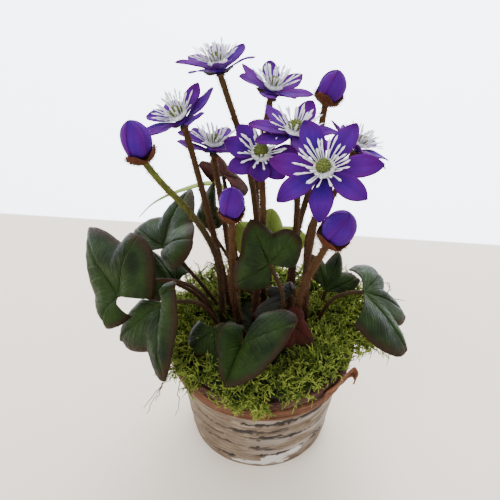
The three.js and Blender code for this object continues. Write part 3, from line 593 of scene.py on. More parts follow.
class Finish:
    """A material with its shader and the coordinates that its pattern may read."""

    def __init__(self, name, **shader):
        self.material = bpy.data.materials.new(name)
        self.material.use_nodes = True
        self.tree = self.material.node_tree
        self.shader = self.tree.nodes["Principled BSDF"]
        for key, value in shader.items():
            self.shader.inputs[key.replace("_", " ")].default_value = value
        place = self.tree.nodes.new("ShaderNodeTexCoord")
        self.object, self.uv = place.outputs["Object"], place.outputs["UV"]
        parts = node(self.tree, "ShaderNodeSeparateXYZ", {0: self.uv})
        self.u, self.v = parts.outputs[0], parts.outputs[1]

    def value(self, label):
        return node(self.tree, "ShaderNodeAttribute", attribute_name=label).outputs["Fac"]

    def colour(self, socket):
        self.tree.links.new(socket, self.shader.inputs["Base Color"])

    def roughness(self, socket):
        self.tree.links.new(socket, self.shader.inputs["Roughness"])

    def relief(self, height, distance, strength=1.0):
        bump = node(self.tree, "ShaderNodeBump",
                    {"Height": height, "Strength": strength, "Distance": distance})
        self.tree.links.new(bump.outputs[0], self.shader.inputs["Normal"])


def petal_finish():
    """Petal cloth: deep blue-violet at the foot, a paler painted sheen in the middle, purple at tip and
    edges.
    """
    f = Finish("petal cloth", Roughness=0.7, Specular_IOR_Level=0.06)
    t = f.tree
    spots = use(t, BLOTCHES, Vector=f.object, Scale=110.0)
    # The paler stop at 0.62 of the length is a painted sheen
    base = ramp(t, f.v, (0.0, paint(12, 1, 46)), (0.3, paint(28, 3, 88)), (0.62, paint(66, 14, 120)),
                (0.85, paint(60, 2, 96)), (1.0, paint(46, 1, 66)))
    off = calc(t, "ABSOLUTE", calc(t, "SUBTRACT", calc(t, "MULTIPLY", f.u, 2.0), 1.0))
    edge = band(t, off, 0.45, 1.0)
    warm = blend(t, calc(t, "MULTIPLY", edge, 0.6), base, paint(80, 3, 92))
    dyed = blend(t, calc(t, "MULTIPLY", spots["Patches"], 0.45), warm, paint(36, 8, 122))
    per_petal = blend(t, calc(t, "MULTIPLY", f.value("tone"), 0.5), dyed, paint(92, 5, 104))
    lines = node(t, "ShaderNodeCombineXYZ", {
        0: calc(t, "MULTIPLY", f.u, 22.0), 1: calc(t, "MULTIPLY", f.v, 2.4),
        2: calc(t, "MULTIPLY", f.value("tone"), 40.0)})
    veins = noise(t, lines.outputs[0], 1.0, 4.0, 0.6)
    streaks = ramp(t, veins, (0.3, (0.25, 0.25, 0.25, 1)), (0.7, (0.85, 0.85, 0.85, 1)))
    f.colour(blend(t, 0.32, per_petal, streaks, "OVERLAY"))
    f.roughness(band(t, veins, 0.3, 0.7, 0.6, 0.8))
    weave = use(t, CLOTH_WEAVE, Vector=f.object, Threads=9000.0)
    f.relief(calc(t, "ADD", veins, calc(t, "MULTIPLY", weave["Height"], 0.12)), 0.0004)
    return f.material


def leaf_finish(name, deep, fresh, vein, margin, under, rough=0.5):
    """Leaf cloth: two greens in patches, a paler print of veins, a darker margin and a plain underside."""
    f = Finish(name, Roughness=rough, Specular_IOR_Level=0.1)
    t = f.tree
    spots = use(t, BLOTCHES, Vector=f.object, Scale=70.0)
    print_of = use(t, LEAF_VEINS, UV=f.uv, Wander=spots["Patches"])
    green = blend(t, spots["Patches"], deep, fresh)
    inner = blend(t, band(t, f.v, 0.55, 0.0, 0.0, 0.45), green, fresh)
    edged = blend(t, calc(t, "MULTIPLY", print_of["Margin"], 0.8), inner, margin)
    both = calc(t, "ADD", calc(t, "MULTIPLY", print_of["Veins"], 0.45),
                calc(t, "MULTIPLY", print_of["Side Veins"], 0.13), clamp=True)
    veined = blend(t, both, edged, vein)
    grained = blend(t, calc(t, "MULTIPLY", spots["Grain"], 0.35), veined, deep)
    f.colour(blend(t, calc(t, "MULTIPLY", f.value("side"), 0.85), grained, under))
    f.roughness(band(t, spots["Grain"], 0.3, 0.7, rough - 0.08, rough + 0.12))
    weave = use(t, CLOTH_WEAVE, Vector=f.object, Threads=7000.0)
    height = calc(t, "SUBTRACT", calc(t, "MULTIPLY", weave["Height"], 0.1),
                  calc(t, "ADD", print_of["Veins"], calc(t, "MULTIPLY", print_of["Side Veins"], 0.6)))
    f.relief(height, 0.0005)
    return f.material


def stalk_finish(name, low, high, flush, start=0.0):
    """A flocked stalk: darker at its foot up to the share start of its height, with fine upright streaks and
    reddish patches."""
    f = Finish(name, Roughness=0.8, Specular_IOR_Level=0.2)
    t = f.tree
    spots = use(t, BLOTCHES, Vector=f.object, Scale=260.0)
    long = noise(t, stretched(t, f.object, 900.0, 900.0, 120.0), 1.0)
    base = blend(t, band(t, f.v, start, 1.0), low, high)
    patched = blend(t, calc(t, "MULTIPLY", spots["Patches"], 0.6), base, flush)
    streaked = blend(t, band(t, long, 0.4, 0.75, 0.0, 0.5), patched, paint(38, 24, 14))
    f.colour(blend(t, calc(t, "MULTIPLY", f.value("tone"), 0.8), streaked, paint(104, 68, 34)))
    f.relief(calc(t, "ADD", long, spots["Grain"]), 0.0004)
    return f.material


def stamen_finish():
    """White filaments, a little grey-green at the foot."""
    f = Finish("stamen white", Roughness=0.55, Sheen_Weight=0.1)
    t = f.tree
    spots = use(t, BLOTCHES, Vector=f.object, Scale=500.0)
    base = ramp(t, f.v, (0.0, paint(176, 186, 150)), (0.3, paint(226, 227, 226)),
                (1.0, paint(244, 243, 248)))
    f.colour(blend(t, calc(t, "MULTIPLY", spots["Patches"], 0.25), base, paint(196, 190, 210)))
    f.relief(spots["Grain"], 0.0002)
    return f.material


def carpel_finish():
    """Yellow-green knobs, darker towards their feet: the dark olive in the gaps between them is painted
    shade.
    """
    f = Finish("carpel green", Roughness=0.5)
    t = f.tree
    spots = use(t, BLOTCHES, Vector=f.object, Scale=420.0)
    # Dark at the foot of each carpel: painted shade in the gaps between them
    base = ramp(t, f.v, (0.0, paint(14, 18, 4)), (0.45, paint(60, 72, 14)), (1.0, paint(132, 138, 48)))
    f.colour(blend(t, calc(t, "MULTIPLY", spots["Patches"], 0.35), base, paint(70, 86, 20)))
    f.relief(spots["Grain"], 0.0002)
    return f.material


def moss_finish():
    """Dyed dry moss: bright yellow-green tips, olive stems and dark depths along V; the dark depths are
    painted shade and the bright tips partly painted light. The tone value darkens it further: painted shade
    among the stalks and in hollows, with random tone.
    """
    f = Finish("dyed moss", Roughness=0.85, Specular_IOR_Level=0.2)
    t = f.tree
    spots = use(t, BLOTCHES, Vector=f.object, Scale=90.0)
    base = ramp(t, f.v, (0.0, paint(16, 22, 7)), (0.45, paint(80, 98, 26)), (1.0, paint(174, 188, 80)))
    dyed = blend(t, calc(t, "MULTIPLY", spots["Patches"], 0.55), base, paint(56, 82, 14))
    # The tone value darkens towards near black: painted shade, with some random tone
    f.colour(blend(t, calc(t, "MULTIPLY", f.value("tone"), 0.9), dyed, paint(14, 18, 5)))
    f.relief(spots["Grain"], 0.0003)
    return f.material


def birch_finish():
    """Birch bark: grey-beige with fine level streaks, black ragged splits, white and brown patches.
    The splits are the tone value; the side value holds the peeled white patches and painted light, a paler
    side of the pot."""
    f = Finish("birch bark", Roughness=0.8)
    t = f.tree
    streaks = use(t, BARK_FIBRES, UV=f.uv, Along=26.0, Across=34.0)
    fine = use(t, BARK_FIBRES, UV=f.uv, Along=90.0, Across=150.0)
    spots = use(t, BLOTCHES, Vector=f.object, Scale=60.0)
    base = ramp(t, streaks["Fibres"], (0.25, paint(66, 51, 38)), (0.48, paint(118, 100, 80)),
                (0.75, paint(172, 156, 134)))
    patched = blend(t, calc(t, "MULTIPLY", spots["Patches"], 0.6), base, paint(98, 78, 58))
    low = band(t, f.v, 0.3, 0.02, 0.0, 0.5)
    browned = blend(t, calc(t, "MULTIPLY", low, spots["Patches"]), patched, paint(92, 62, 40))
    # The side value whitens: peeled patches, and painted light on one side of the pot
    white = blend(t, f.value("side"), browned, paint(208, 201, 193))
    flecks = band(t, fine["Fibres"], 0.62, 0.72)
    flecked = blend(t, calc(t, "MULTIPLY", flecks, 0.6), white, paint(78, 68, 60))
    dark = calc(t, "MULTIPLY", f.value("tone"), band(t, fine["Fibres"], 0.3, 0.5, 0.6, 1.0), clamp=True)
    f.colour(blend(t, dark, flecked, paint(34, 28, 25)))
    f.relief(calc(t, "ADD", streaks["Fibres"], calc(t, "MULTIPLY", fine["Fibres"], 0.5)), 0.0008)
    return f.material


def strip_finish(name, dark, middle, light, across):
    """A bark strip: long fibres along it from dark to light, darker where the tone value is high: painted
    shade in its grooves and on the band under the vines, and darker fibres as grain.
    """
    f = Finish(name, Roughness=0.75)
    t = f.tree
    fibres = use(t, BARK_FIBRES, UV=f.uv, Along=30.0, Across=across)
    fine = use(t, BARK_FIBRES, UV=f.uv, Along=90.0, Across=across * 4)
    base = ramp(t, fibres["Fibres"], (0.28, dark), (0.5, middle), (0.72, light))
    grained = blend(t, band(t, fine["Fibres"], 0.35, 0.6, 0.5, 0.0), base, dark)
    f.colour(blend(t, calc(t, "MULTIPLY", f.value("tone"), 0.85), grained, paint(30, 18, 12)))
    f.relief(calc(t, "ADD", fibres["Fibres"], fine["Fibres"]), 0.0012)
    return f.material


def plain_finish(name, dark, light, rough, scale):
    """A matt surface with soft patches and fine grain, for the inner cup and the filling."""
    f = Finish(name, Roughness=rough)
    t = f.tree
    spots = use(t, BLOTCHES, Vector=f.object, Scale=scale)
    mixed = blend(t, spots["Patches"], dark, light)
    f.colour(blend(t, calc(t, "MULTIPLY", spots["Grain"], 0.4), mixed, dark))
    f.relief(calc(t, "ADD", spots["Patches"], spots["Grain"]), 0.0006)
    return f.material


PETAL = petal_finish()
STAMEN = stamen_finish()
CARPEL = carpel_finish()
STALK = stalk_finish("hairy stalk", paint(28, 16, 7), paint(76, 54, 22), paint(66, 28, 11))
STALK_GREEN = stalk_finish("green stalk", paint(40, 24, 8), paint(104, 118, 40), paint(66, 50, 16),
                           start=0.5)
PETIOLE = stalk_finish("petiole", paint(32, 20, 8), paint(54, 44, 18), paint(70, 30, 14))
CALYX = stalk_finish("hairy calyx", paint(98, 46, 22), paint(84, 32, 16), paint(60, 42, 16))
LEAF = leaf_finish("leaf cloth", paint(15, 25, 7), paint(38, 57, 18), paint(66, 83, 36),
                   paint(46, 20, 15), paint(62, 36, 24))
LEAF_YOUNG = leaf_finish("young leaf cloth", paint(26, 24, 12), paint(62, 22, 16), paint(68, 50, 34),
                         paint(46, 10, 12), paint(48, 24, 12), rough=0.9)
LEAF_PURPLE = leaf_finish("purple leaf cloth", paint(16, 15, 12), paint(32, 34, 24), paint(54, 54, 44),
                          paint(44, 20, 20), paint(48, 28, 24))
LEAF_PALE = leaf_finish("pale leaf cloth", paint(104, 124, 44), paint(140, 158, 74), paint(176, 190, 112),
                        paint(110, 122, 50), paint(128, 140, 70), rough=0.5)
MOSS = moss_finish()
BIRCH = birch_finish()
STRIP_ORANGE = strip_finish("orange bark strip", paint(72, 38, 20), paint(146, 86, 46),
                            paint(190, 132, 84), 9.0)
STRIP_RED = strip_finish("red bark strip", paint(50, 26, 18), paint(108, 60, 40), paint(154, 100, 72), 9.0)
STRIP_GREY = strip_finish("grey bark strip", paint(48, 36, 28), paint(98, 76, 58), paint(150, 128, 104), 9.0)
FIBRE = stalk_finish("dry fibre", paint(58, 40, 24), paint(84, 60, 36), paint(70, 44, 26))
LINER = plain_finish("inner cup", paint(44, 36, 26), paint(66, 56, 42), 0.7, 60.0)
FILLING = plain_finish("dry filling", paint(26, 20, 14), paint(50, 38, 26), 0.95, 240.0)


# ---- Flowers ----

def petal_outline(u):
    """Half width of a petal as a share, along its length: it widens from a narrow foot on a quarter sine
    up to 0.55 of the length, and closes in a rounded point on a curve like an ellipse's."""
    foot = 0.28 + 0.72 * np.sin(np.minimum(u / 0.55, 1) * np.pi / 2) ** 1.1
    tip = (1 - np.clip((u - 0.52) / 0.48, 0, 1) ** 1.95) ** 0.75
    return foot * np.maximum(tip, 0.04)


def petal(bearing, length, width, rise, lift, arch, rng):
    """One petal as a closed plate. Across it s runs from -1 to 1 and along it u from 0 to 1. Its height is
    the part's own curve in u, plus an arch in s squared, a shallow channel, a curl of the tip and edges
    that wave gently."""
    u = (1 - (1 - np.linspace(0, 1, 25)) ** 1.6)[:, None]
    s = np.linspace(-1, 1, 13)[None, :]
    half = width / 2 * petal_outline(u)
    turn, rise = math.radians(bearing), math.radians(rise)
    curl, twist, phase = rng.uniform(-2.0, 1.4), rng.uniform(-0.24, 0.24), rng.uniform(0, 6)
    reach = PETAL_START + length * u * math.cos(rise)
    height = lift + length * math.sin(rise) * (1.25 * u - 0.25 * u * u) + arch * half * s * s
    height = height + curl * ease(u, 0.62, 1.0) * u + twist * half * s * u
    height = height - 0.35 * np.exp(-(s / 0.22) ** 2) * np.sin(np.pi * u) ** 0.7
    height = height + 0.22 * s ** 2 * np.sin(9 * u + phase + 1.5 * s) * ease(u, 0.15, 0.5)
    aside = half * s + 0.5 * math.sin(phase) * np.sin(np.pi * u * 0.5) ** 2
    out, across = flat_axes(turn)
    flat = reach[..., None] * out + aside[..., None] * across
    points = np.concatenate([flat, np.broadcast_to(height, flat.shape[:2])[..., None]], axis=-1)
    uv = grid_of(s * 0.5 + 0.5, u)
    return plate(points, 0.34, uv, tone=rng.uniform(0, 1), under=0.0)


def petals_of(k, flower):
    """The petals of one flower, in the two layers of the part's source, on their small disc."""
    numbers, rng = source_random(100 + k), np.random.default_rng(500 + k)
    axes = facing_axes(flower["at"], flower["facing"])
    disc = [(0.3, -1.9), (2.4, -1.75), (3, -1.2), (3, -0.5), (2.5, 0), (0.3, 0.1)]
    skin = Skin().add(**moved(turned(disc, 24), axes))
    for i, bearing in enumerate(sorted(flower["bearings"])):
        length = flower["petal"] - PETAL_START - 1.5 * next(numbers)
        width = (9.6 + next(numbers)) * (0.96 if k in (3, 7) else 0.86)
        low = i % 2 == 0
        skin.add(**moved(petal(bearing, length, width, flower["rise"] + (-1 if low else 1.5),
                               -1.3 if low else -0.35, 0.03 if low else 0.2, rng), axes))
    build_piece(f"flower_{k + 1}_petals_cloth", skin, PETAL, "petal", [f"flower_{k + 1}_petals"])


def seat_height(flower):
    """Height of the ring that the filaments stand on, over the middle of the petals."""
    return 1.8 * math.tan(math.radians(flower["rise"])) * 2.2 + 0.9


def stamens_of(k, flower):
    """White filaments in two whorls round the head, each flattened, widest near its tip and pointed."""
    rng = np.random.default_rng(700 + k)
    axes, seat = facing_axes(flower["at"], flower["facing"]), seat_height(flower)
    ring = [(0.4, 0.05), (1.8, 0.4), (4.4, seat), (3.8, seat + 0.8), (0.4, seat + 0.9)]
    skin = Skin().add(**moved(turned(ring, 32), axes))
    count = 39
    whorl = np.arange(count) % 3
    turn = (np.arange(count) + rng.uniform(-0.3, 0.3, count)) / count * 2 * np.pi
    lean = np.radians(flower["rise"] * 0.5 + 24 + 17 * whorl + rng.uniform(-6, 9, count))[:, None]
    length = (rng.uniform(7.4, 10.4, count) - 0.4 * whorl)[:, None]
    out = np.stack([np.cos(turn), np.sin(turn)], axis=-1)
    t = np.linspace(0, 1, 8)[None, :]
    bend = rng.uniform(-1.3, 1.0, (count, 1))
    reach = 3.7 - 0.5 * whorl[:, None] + length * t * np.cos(lean)
    height = seat + 0.4 + length * t * np.sin(lean) + bend * t * t
    across = np.stack([-np.sin(turn), np.cos(turn), 0 * turn], axis=-1)
    sway = rng.uniform(-0.9, 0.9, (count, 1)) * t * t
    points = np.concatenate([reach[..., None] * out[:, None, :], height[..., None]], axis=-1)
    points = points + sway[..., None] * across[:, None, :]
    width = np.interp(t[0], [0, 0.35, 0.72, 0.86, 0.95, 1], [0.2, 0.22, 0.42, 0.54, 0.36, 0.05])
    radii = width[None, :] * rng.uniform(0.85, 1.15, (count, 1))
    skin.add(**moved(tubes(points, radii, 6, flat=0.42, across=across), axes))
    build_piece(f"flower_{k + 1}_stamens_white", skin, STAMEN, "stamen", [f"flower_{k + 1}_stamens"])


def carpels_of(k, flower):
    """A dome of small pointed carpels, set on a spiral of equal steps of 137.5 degrees."""
    rng = np.random.default_rng(900 + k)
    axes = facing_axes(flower["at"], flower["facing"])
    floor = seat_height(flower) + 0.9 + 0.35
    radius, height = 3.55, 3.5
    dome = [(0.3, floor - 0.5), (radius * 0.72, floor), (radius * 0.8, floor + 0.7),
            (radius * 0.66, floor + 1.8), (radius * 0.36, floor + 2.5), (0.2, floor + 2.75)]
    skin = Skin().add(**moved(turned(dome, 20), axes))
    count = 44
    i = np.arange(count) + 0.5
    up = i / count
    turn = i * GOLDEN_TURN
    flat = np.sqrt(1 - up ** 2)
    out = np.stack([flat * np.cos(turn), flat * np.sin(turn), up], axis=-1)
    foot = out * np.array([radius * 0.7, radius * 0.7, height * 0.66]) + np.array([0, 0, floor])
    way = unit(out + np.array([0, 0, 0.35]))
    t = np.linspace(0, 1, 6)
    reach = rng.uniform(1.15, 1.5, (count, 1))
    points = foot[:, None, :] + way[:, None, :] * (t[None, :] * reach)[..., None]
    width = np.array([0.36, 0.5, 0.52, 0.4, 0.2, 0.06])
    skin.add(**moved(tubes(points, width[None, :] * rng.uniform(0.85, 1.1, (count, 1)), 7), axes))
    build_piece(f"flower_{k + 1}_carpels_green", skin, CARPEL, "carpel", [f"flower_{k + 1}_carpels"])


# A flower's or bud's stalk: radius at its foot, and how much thinner it is at its top
STALK_FOOT, STALK_TAPER = STEM_RADIUS * 1.1, STEM_RADIUS * 0.15


def stem_tube(skin, path, thickest, taper, seed, hair_count, sides=12, hair_length=1.9):
    """A stalk with slightly uneven sides, its straight part in the filling, and hairs over the rest. Its
    radius falls evenly from thickest by taper."""
    rng = np.random.default_rng(seed)
    steps = len(path)
    t = np.linspace(0, 1, steps)
    radii = (thickest - taper * t) * (1 + 0.07 * grain(t * 0, t, 1, 22, seed))
    straight = np.array([path[0] * [1, 1, 0] + [0, 0, z] for z in (SOCKET_FLOOR, 44, 58)])
    whole = np.concatenate([straight, path])
    skin.add(**tubes(whole[None], np.concatenate([np.full(3, radii[0]), radii])[None], sides))
    spot = rng.uniform(0.03, 0.995, hair_count)
    centre = along_path(path, t, spot)
    tangent = unit(np.gradient(path, axis=0))
    along = along_path(tangent, t, spot)
    outward = unit(np.cross(along, rng.normal(0, 1, (hair_count, 3))))
    radius = np.interp(spot, t, radii)[:, None]
    skin.add(**hairs(centre + outward * radius * 0.93, outward, hair_length, 0.12, seed + 1))


def stem_end(spec, end):
    """The point on a flower's or bud's axis at the height end."""
    return np.asarray(spec["at"], float) + unit(np.asarray(spec["facing"], float)) * end


def stem_path(spec, end):
    """The stalk's curve from the moss to its flower or bud."""
    return smooth_path([(*spec["root"], STRAIGHT_TOP), *spec["via"], stem_end(spec, end)], 56)


def bract(turn, rise, seed):
    """A small ovate bract under the petals."""
    u, s = np.linspace(0, 1, 12)[:, None], np.linspace(-1, 1, 7)[None, :]
    half = 1.9 * np.sin(np.pi * (0.2 + 0.78 * u)) ** 0.9
    reach = 0.9 + 6.7 * u
    height = STEM_TOP - 0.1 + 0.05 * reach ** 2 * math.tan(math.radians(rise)) + 0.12 * half * s * s
    height = height + 0.25 * np.sin(7 * u + seed) * s
    out, across = flat_axes(turn)
    flat = (reach + 0 * s)[..., None] * out + (half * s)[..., None] * across
    points = np.concatenate([flat, np.broadcast_to(height, flat.shape[:2])[..., None]], axis=-1)
    return plate(points, 0.5, grid_of(s * 0.5 + 0.5, u), under=0.0), points


def flower_stem(k, flower):
    """The stalk of a flower with three hairy bracts."""
    skin = Skin()
    stem_tube(skin, stem_path(flower, STEM_TOP), STALK_FOOT, STALK_TAPER, 60 + k, 1100)
    axes = facing_axes(flower["at"], flower["facing"])
    for third in range(3):
        part, points = bract(math.radians(40 + 120 * third), flower["rise"], k + third)
        skin.add(**moved(part, axes))
        edge = np.concatenate([points[:, 0], points[:, -1], points[6:, 3]])
        foot = edge.repeat(3, axis=0) @ axes[0] + axes[1]
        down = np.broadcast_to(-axes[0][2] * 0.7, foot.shape)
        skin.add(**hairs(foot, down, 1.2, 0.09, 30 * k + third))
    build_piece(f"flower_{k + 1}_hairy_stem", skin, STALK, "stem", [f"flower_{k + 1}_stem"])


# ---- Buds ----

def bud_tepals(k, bud):
    """Five tepals wrapped round an egg, each with its left edge under its neighbour and its right edge
    over the next, on a core in the darkest petal colour: painted shade in the gaps between the tepals."""
    rng = np.random.default_rng(40 + k)
    axes, scale = facing_axes(bud["at"], bud["facing"]), bud["height"] / 17.5
    heights = np.array([2.6, 5, 8.5, 12.5, 15.8, 17.2, 17.6])
    shares = np.array([0.38, 0.84, 1, 0.93, 0.6, 0.22, 0.05])
    fine = smooth_path(np.stack([shares * bud["radius"], heights * scale, 0 * heights], axis=-1), 30)
    radius, height = fine[:, 0][:, None], fine[:, 1][:, None]
    core = np.stack([fine[:, 0] * 0.84, fine[:, 1] - 0.25], axis=-1)
    # The core takes the darkest petal colour: painted shade between the tepals
    skin = Skin().add(**moved(dict(turned(core, 24), uv=np.array([[0.5, 0.0]])), axes))
    level = np.linspace(0, 1, 30)[:, None]
    for i in range(5):
        spread = math.radians(65) * (1 - 0.25 * level ** 6)
        s = np.linspace(1, -1, 17)[None, :]
        middle = math.radians(72 * i + 24) + rng.uniform(-0.06, 0.06) + 0.5 * level
        over = 0.5 + 0.5 * s
        swell = 0.9 + 0.095 * over + 0.02 * np.cos(3 * s + i) + 0.02 * np.sin(8 * level + i)
        r = radius * swell - 0.12 * np.exp(-(s / 0.15) ** 2)
        r = np.maximum(r, 0.25 + 0.12 * over)
        turn = middle + spread * s
        z = height + 0.35 * over * ease(level, 0.75, 1.0)
        points = grid_of(r * np.cos(turn), r * np.sin(turn), z)
        uv = grid_of(s * 0.5 + 0.5, 0.25 + 0.6 * level)
        skin.add(**moved(plate(points, 0.3, uv, tone=rng.uniform(0, 0.7), under=0.0), axes))
    build_piece(f"bud_{k + 1}_wrapped_tepals", skin, PETAL, "petal", [f"bud_{k + 1}_tepals"])


def bud_stem(k, bud):
    """The stalk of a bud, and its three-lobed cup with hairs."""
    skin = Skin()
    stem_tube(skin, stem_path(bud, 0.6), STALK_FOOT, STALK_TAPER, 80 + k, 1000)
    finish = STALK if k else STALK_GREEN
    build_piece(f"bud_{k + 1}_hairy_stem", skin, finish, "stem", [f"bud_{k + 1}_stem"])
    axes, r = facing_axes(bud["at"], bud["facing"]), bud["radius"]
    profile = smooth_path([(0.4, -0.1, 0), (1.9, 0.1, 0), (0.68 * r, 1.1, 0), (0.95 * r, 2.7, 0),
                           (r + 0.3, 5.0, 0), (r + 0.2, 5.3, 0), (r - 0.05, 5.0, 0), (r * 0.86, 3.4, 0),
                           (0.68 * r - 0.6, 1.9, 0), (0.4, 1.7, 0)], 34)[:, :2]
    cup = turned(profile, 60)
    points = cup["points"].copy()
    turn, rim = np.arctan2(points[:, 1], points[:, 0]), ease(points[:, 2], 1.6, 6.0)
    lobes = 1.9 * np.cos(3 * turn) - 0.5 * np.cos(6 * turn)
    points[:, 2] += rim * lobes
    points[:, :2] *= (1 + rim * (0.05 * np.cos(3 * turn) + 0.02 * np.sin(11 * turn)))[:, None]
    cup["points"] = points
    cup["uv"] = np.stack([turn / (2 * np.pi) + 0.5, points[:, 2] / 8], axis=-1)
    shell = Skin().add(**moved(cup, axes))
    rng = np.random.default_rng(90 + k)
    outside = points.reshape(34, 60, 3)[4:17].reshape(-1, 3)
    foot = outside[rng.integers(0, len(outside), 620)] + rng.normal(0, 0.2, (620, 3))
    way = unit(foot * [1, 1, 0] + [0, 0, 3.0])
    shell.add(**hairs(foot @ axes[0] + axes[1], way @ axes[0], 1.7, 0.11, 20 + k))
    build_piece(f"bud_{k + 1}_hairy_calyx", shell, CALYX, "stem", [f"bud_{k + 1}_stem"])


# ---- Leaves ----

def blade_edge(leaf, bearing, t):
    """The outline of a three-lobed blade from its petiole, at each bearing: from the tip of a lobe to the
    notch beside it, or to the corner at its base, bowed outward on the way. t is the share of that way."""
    end, notch = leaf.get("end", BLADE_END), leaf.get("notch", NOTCH_REACH)
    left, middle, right = (np.subtract(leaf[key], leaf["at"]) for key in ("left", "middle", "right"))
    size, forward = np.linalg.norm(middle), unit(middle)
    edge = np.zeros((len(bearing), 3))
    for arm, mine in ((left, bearing < 0), (right, bearing >= 0)):
        b, share, reach = np.abs(bearing[mine]), t[mine][:, None], np.linalg.norm(arm)
        opening = math.acos(np.dot(forward, unit(arm)))
        aside = unit(arm - forward * np.dot(arm, forward))
        room = max(0, min(math.radians(end - LOBE_BEARING), math.radians(WIDEST_BEARING) - opening))

        def place(angle, length):
            return (forward * math.cos(angle) + aside * math.sin(angle)) * length

        back = (b > LOBE_BEARING)[:, None]
        start = np.where((b > LOBE_BEARING / 2)[:, None], arm, middle)
        stop = np.where(back, place(opening + room, BASE_REACH * reach),
                        place(opening / 2, notch * (size + reach) / 2))
        bow = 1 + np.where(back, BACK_BOW, LOBE_BOW) * np.sin(np.pi * share)
        edge[mine] = (start + (stop - start) * share) * bow
    return edge


def blade(leaf, seed):
    """A three-lobed blade as a plate of levels by bearings: its outline shrunk towards the petiole, over a
    low arch, less a droop towards the edges, plus creases at the veins and soft waves."""
    end, at = leaf.get("end", BLADE_END), np.asarray(leaf["at"], float)
    left, middle, right = (np.asarray(leaf[key], float) - at for key in ("left", "middle", "right"))
    up, size = unit(np.cross(right, middle) + np.cross(middle, left)), np.linalg.norm(middle)
    bearing = np.linspace(end, -end, 113)
    level = np.linspace(0, 1, 19)[:, None]
    b = np.abs(bearing)
    nearest = np.minimum(np.round(b / LOBE_BEARING), 1) * LOBE_BEARING
    t = np.where(b > LOBE_BEARING, (b - LOBE_BEARING) / (end - LOBE_BEARING),
                 np.abs(b - nearest) / (LOBE_BEARING / 2))
    t = np.clip(t, 0, 1)
    u = (bearing / 300 + 0.5)[None, :]
    edge = blade_edge(leaf, bearing, t) * (1 + 0.02 * grain(u[0], 0 * u[0], 30, 1, seed))[:, None]
    arch = 0.09 * np.sin(np.pi * level) - 0.07 * level ** 2 * t ** 2
    off = np.radians(b - nearest)
    away = np.sin(off) * level
    crease = -0.02 * np.exp(-(away / 0.04) ** 2) * ease(level, 0, 0.2) * ease(level, 1.02, 0.75)
    slope = level * np.cos(off) - 1.15 * np.abs(away)
    ribs = -0.003 * np.cos(2 * np.pi * slope / 0.17) * ease(level, 0.1, 0.4)
    waves = 0.05 * grain(u, level, 7, 2, seed + 1, 2) * ease(level, 0.1, 0.8)
    rim = -0.03 * ease(level, 0.86, 1.0)
    lift = size * (arch + crease + ribs + waves + rim)
    points = at + edge[None] * level[..., None] + up * lift[..., None]
    uv = grid_of(u, level)
    part = plate(points, 0.55, uv, pole=True)
    if np.dot(up, np.asarray(CAMERA_AT) - at) < 0:
        part["side"] = 1 - part["side"]
    return part


def leaves_of(name, leaves, seed):
    """The blades of one node, each in its own cloth, and their petioles together as one piece. A petiole
    either stands in the filling or branches off another."""
    finishes = {"pale": (LEAF_PALE, "leaf_pale"), "young": (LEAF_YOUNG, "leaf_young"),
                "purple": (LEAF_PURPLE, "leaf_young")}
    stalks = Skin()
    for i, leaf in enumerate(leaves):
        material, slot = finishes.get(leaf.get("finish"), (LEAF, "leaf"))
        skin = Skin().add(**blade(leaf, seed + i))
        build_piece(f"{name}_blade_{i + 1}", skin, material, slot, [name])
        first = leaf["branch"] if "branch" in leaf else (*leaf["root"], STRAIGHT_TOP)
        path = smooth_path([first, *leaf["via"], leaf["at"]], 40)
        if "branch" in leaf:
            stalks.add(**tubes(path[None], PETIOLE_RADIUS * 0.9, 9))
        else:
            stem_tube(stalks, path, PETIOLE_RADIUS, 0.0, seed + 70 + i, 260, 9, 0.7)
    build_piece(f"{name}_petioles", stalks, PETIOLE, "leaf", [name])


def strap_leaf():
    """One strap-shaped leaf: a shallow channel along its path, tapering to a point."""
    path = np.concatenate([[(*STRAP_ROOT, z) for z in (SOCKET_FLOOR, 50)], smooth_path(STRAP_PATH, 60)])
    t = np.concatenate([[0, 0], np.linspace(0, 1, 60)])
    tangent = unit(np.gradient(path, axis=0))
    across = unit(np.array([0, 1.0, 0]) - tangent * tangent[:, 1:2])
    up = np.cross(tangent, across)
    widening, narrowing = np.minimum(1, 0.45 + 1.6 * t), 1 - 0.94 * (t - 0.7) / 0.3
    half = STRAP_WIDTH / 2 * np.where(t < 0.7, widening, narrowing)
    s = np.linspace(-1, 1, 9)
    points = (path[:, None] + across[:, None] * (half[:, None] * s)[..., None]
              + up[:, None] * (0.22 * half[:, None] * s ** 2)[..., None])
    uv = grid_of(0.5 + 0.04 * s[None, :], 0.15 + 0.7 * t[:, None])
    skin = Skin().add(**plate(points, 0.4, uv, under=0.0))
    build_piece("leaf_strap_blade", skin, LEAF_PALE, "strap", ["leaf_strap"])


# ---- Moss ----

def spill(turn):
    """Radius of the moss mound's edge over the rim, as in the part's source."""
    return 49 + 2.2 * np.sin(3 * turn + 0.6) + 1.4 * np.cos(7 * turn)


def mound_height(turn, radius):
    """Height of the mound's top at a bearing and radius."""
    w = np.sin(5 * turn + 0.4) * np.cos(2 * turn)
    edge = spill(turn)
    rise = ease(radius, 24, 35) * (3.5 + 1.2 * w) + ease(radius, 35, 40) * (1 + 0.4 * w)
    fall = ease(radius, 41, edge) * (3 + 0.8 * w)
    return RIM_TOP + 1.5 + rise - fall


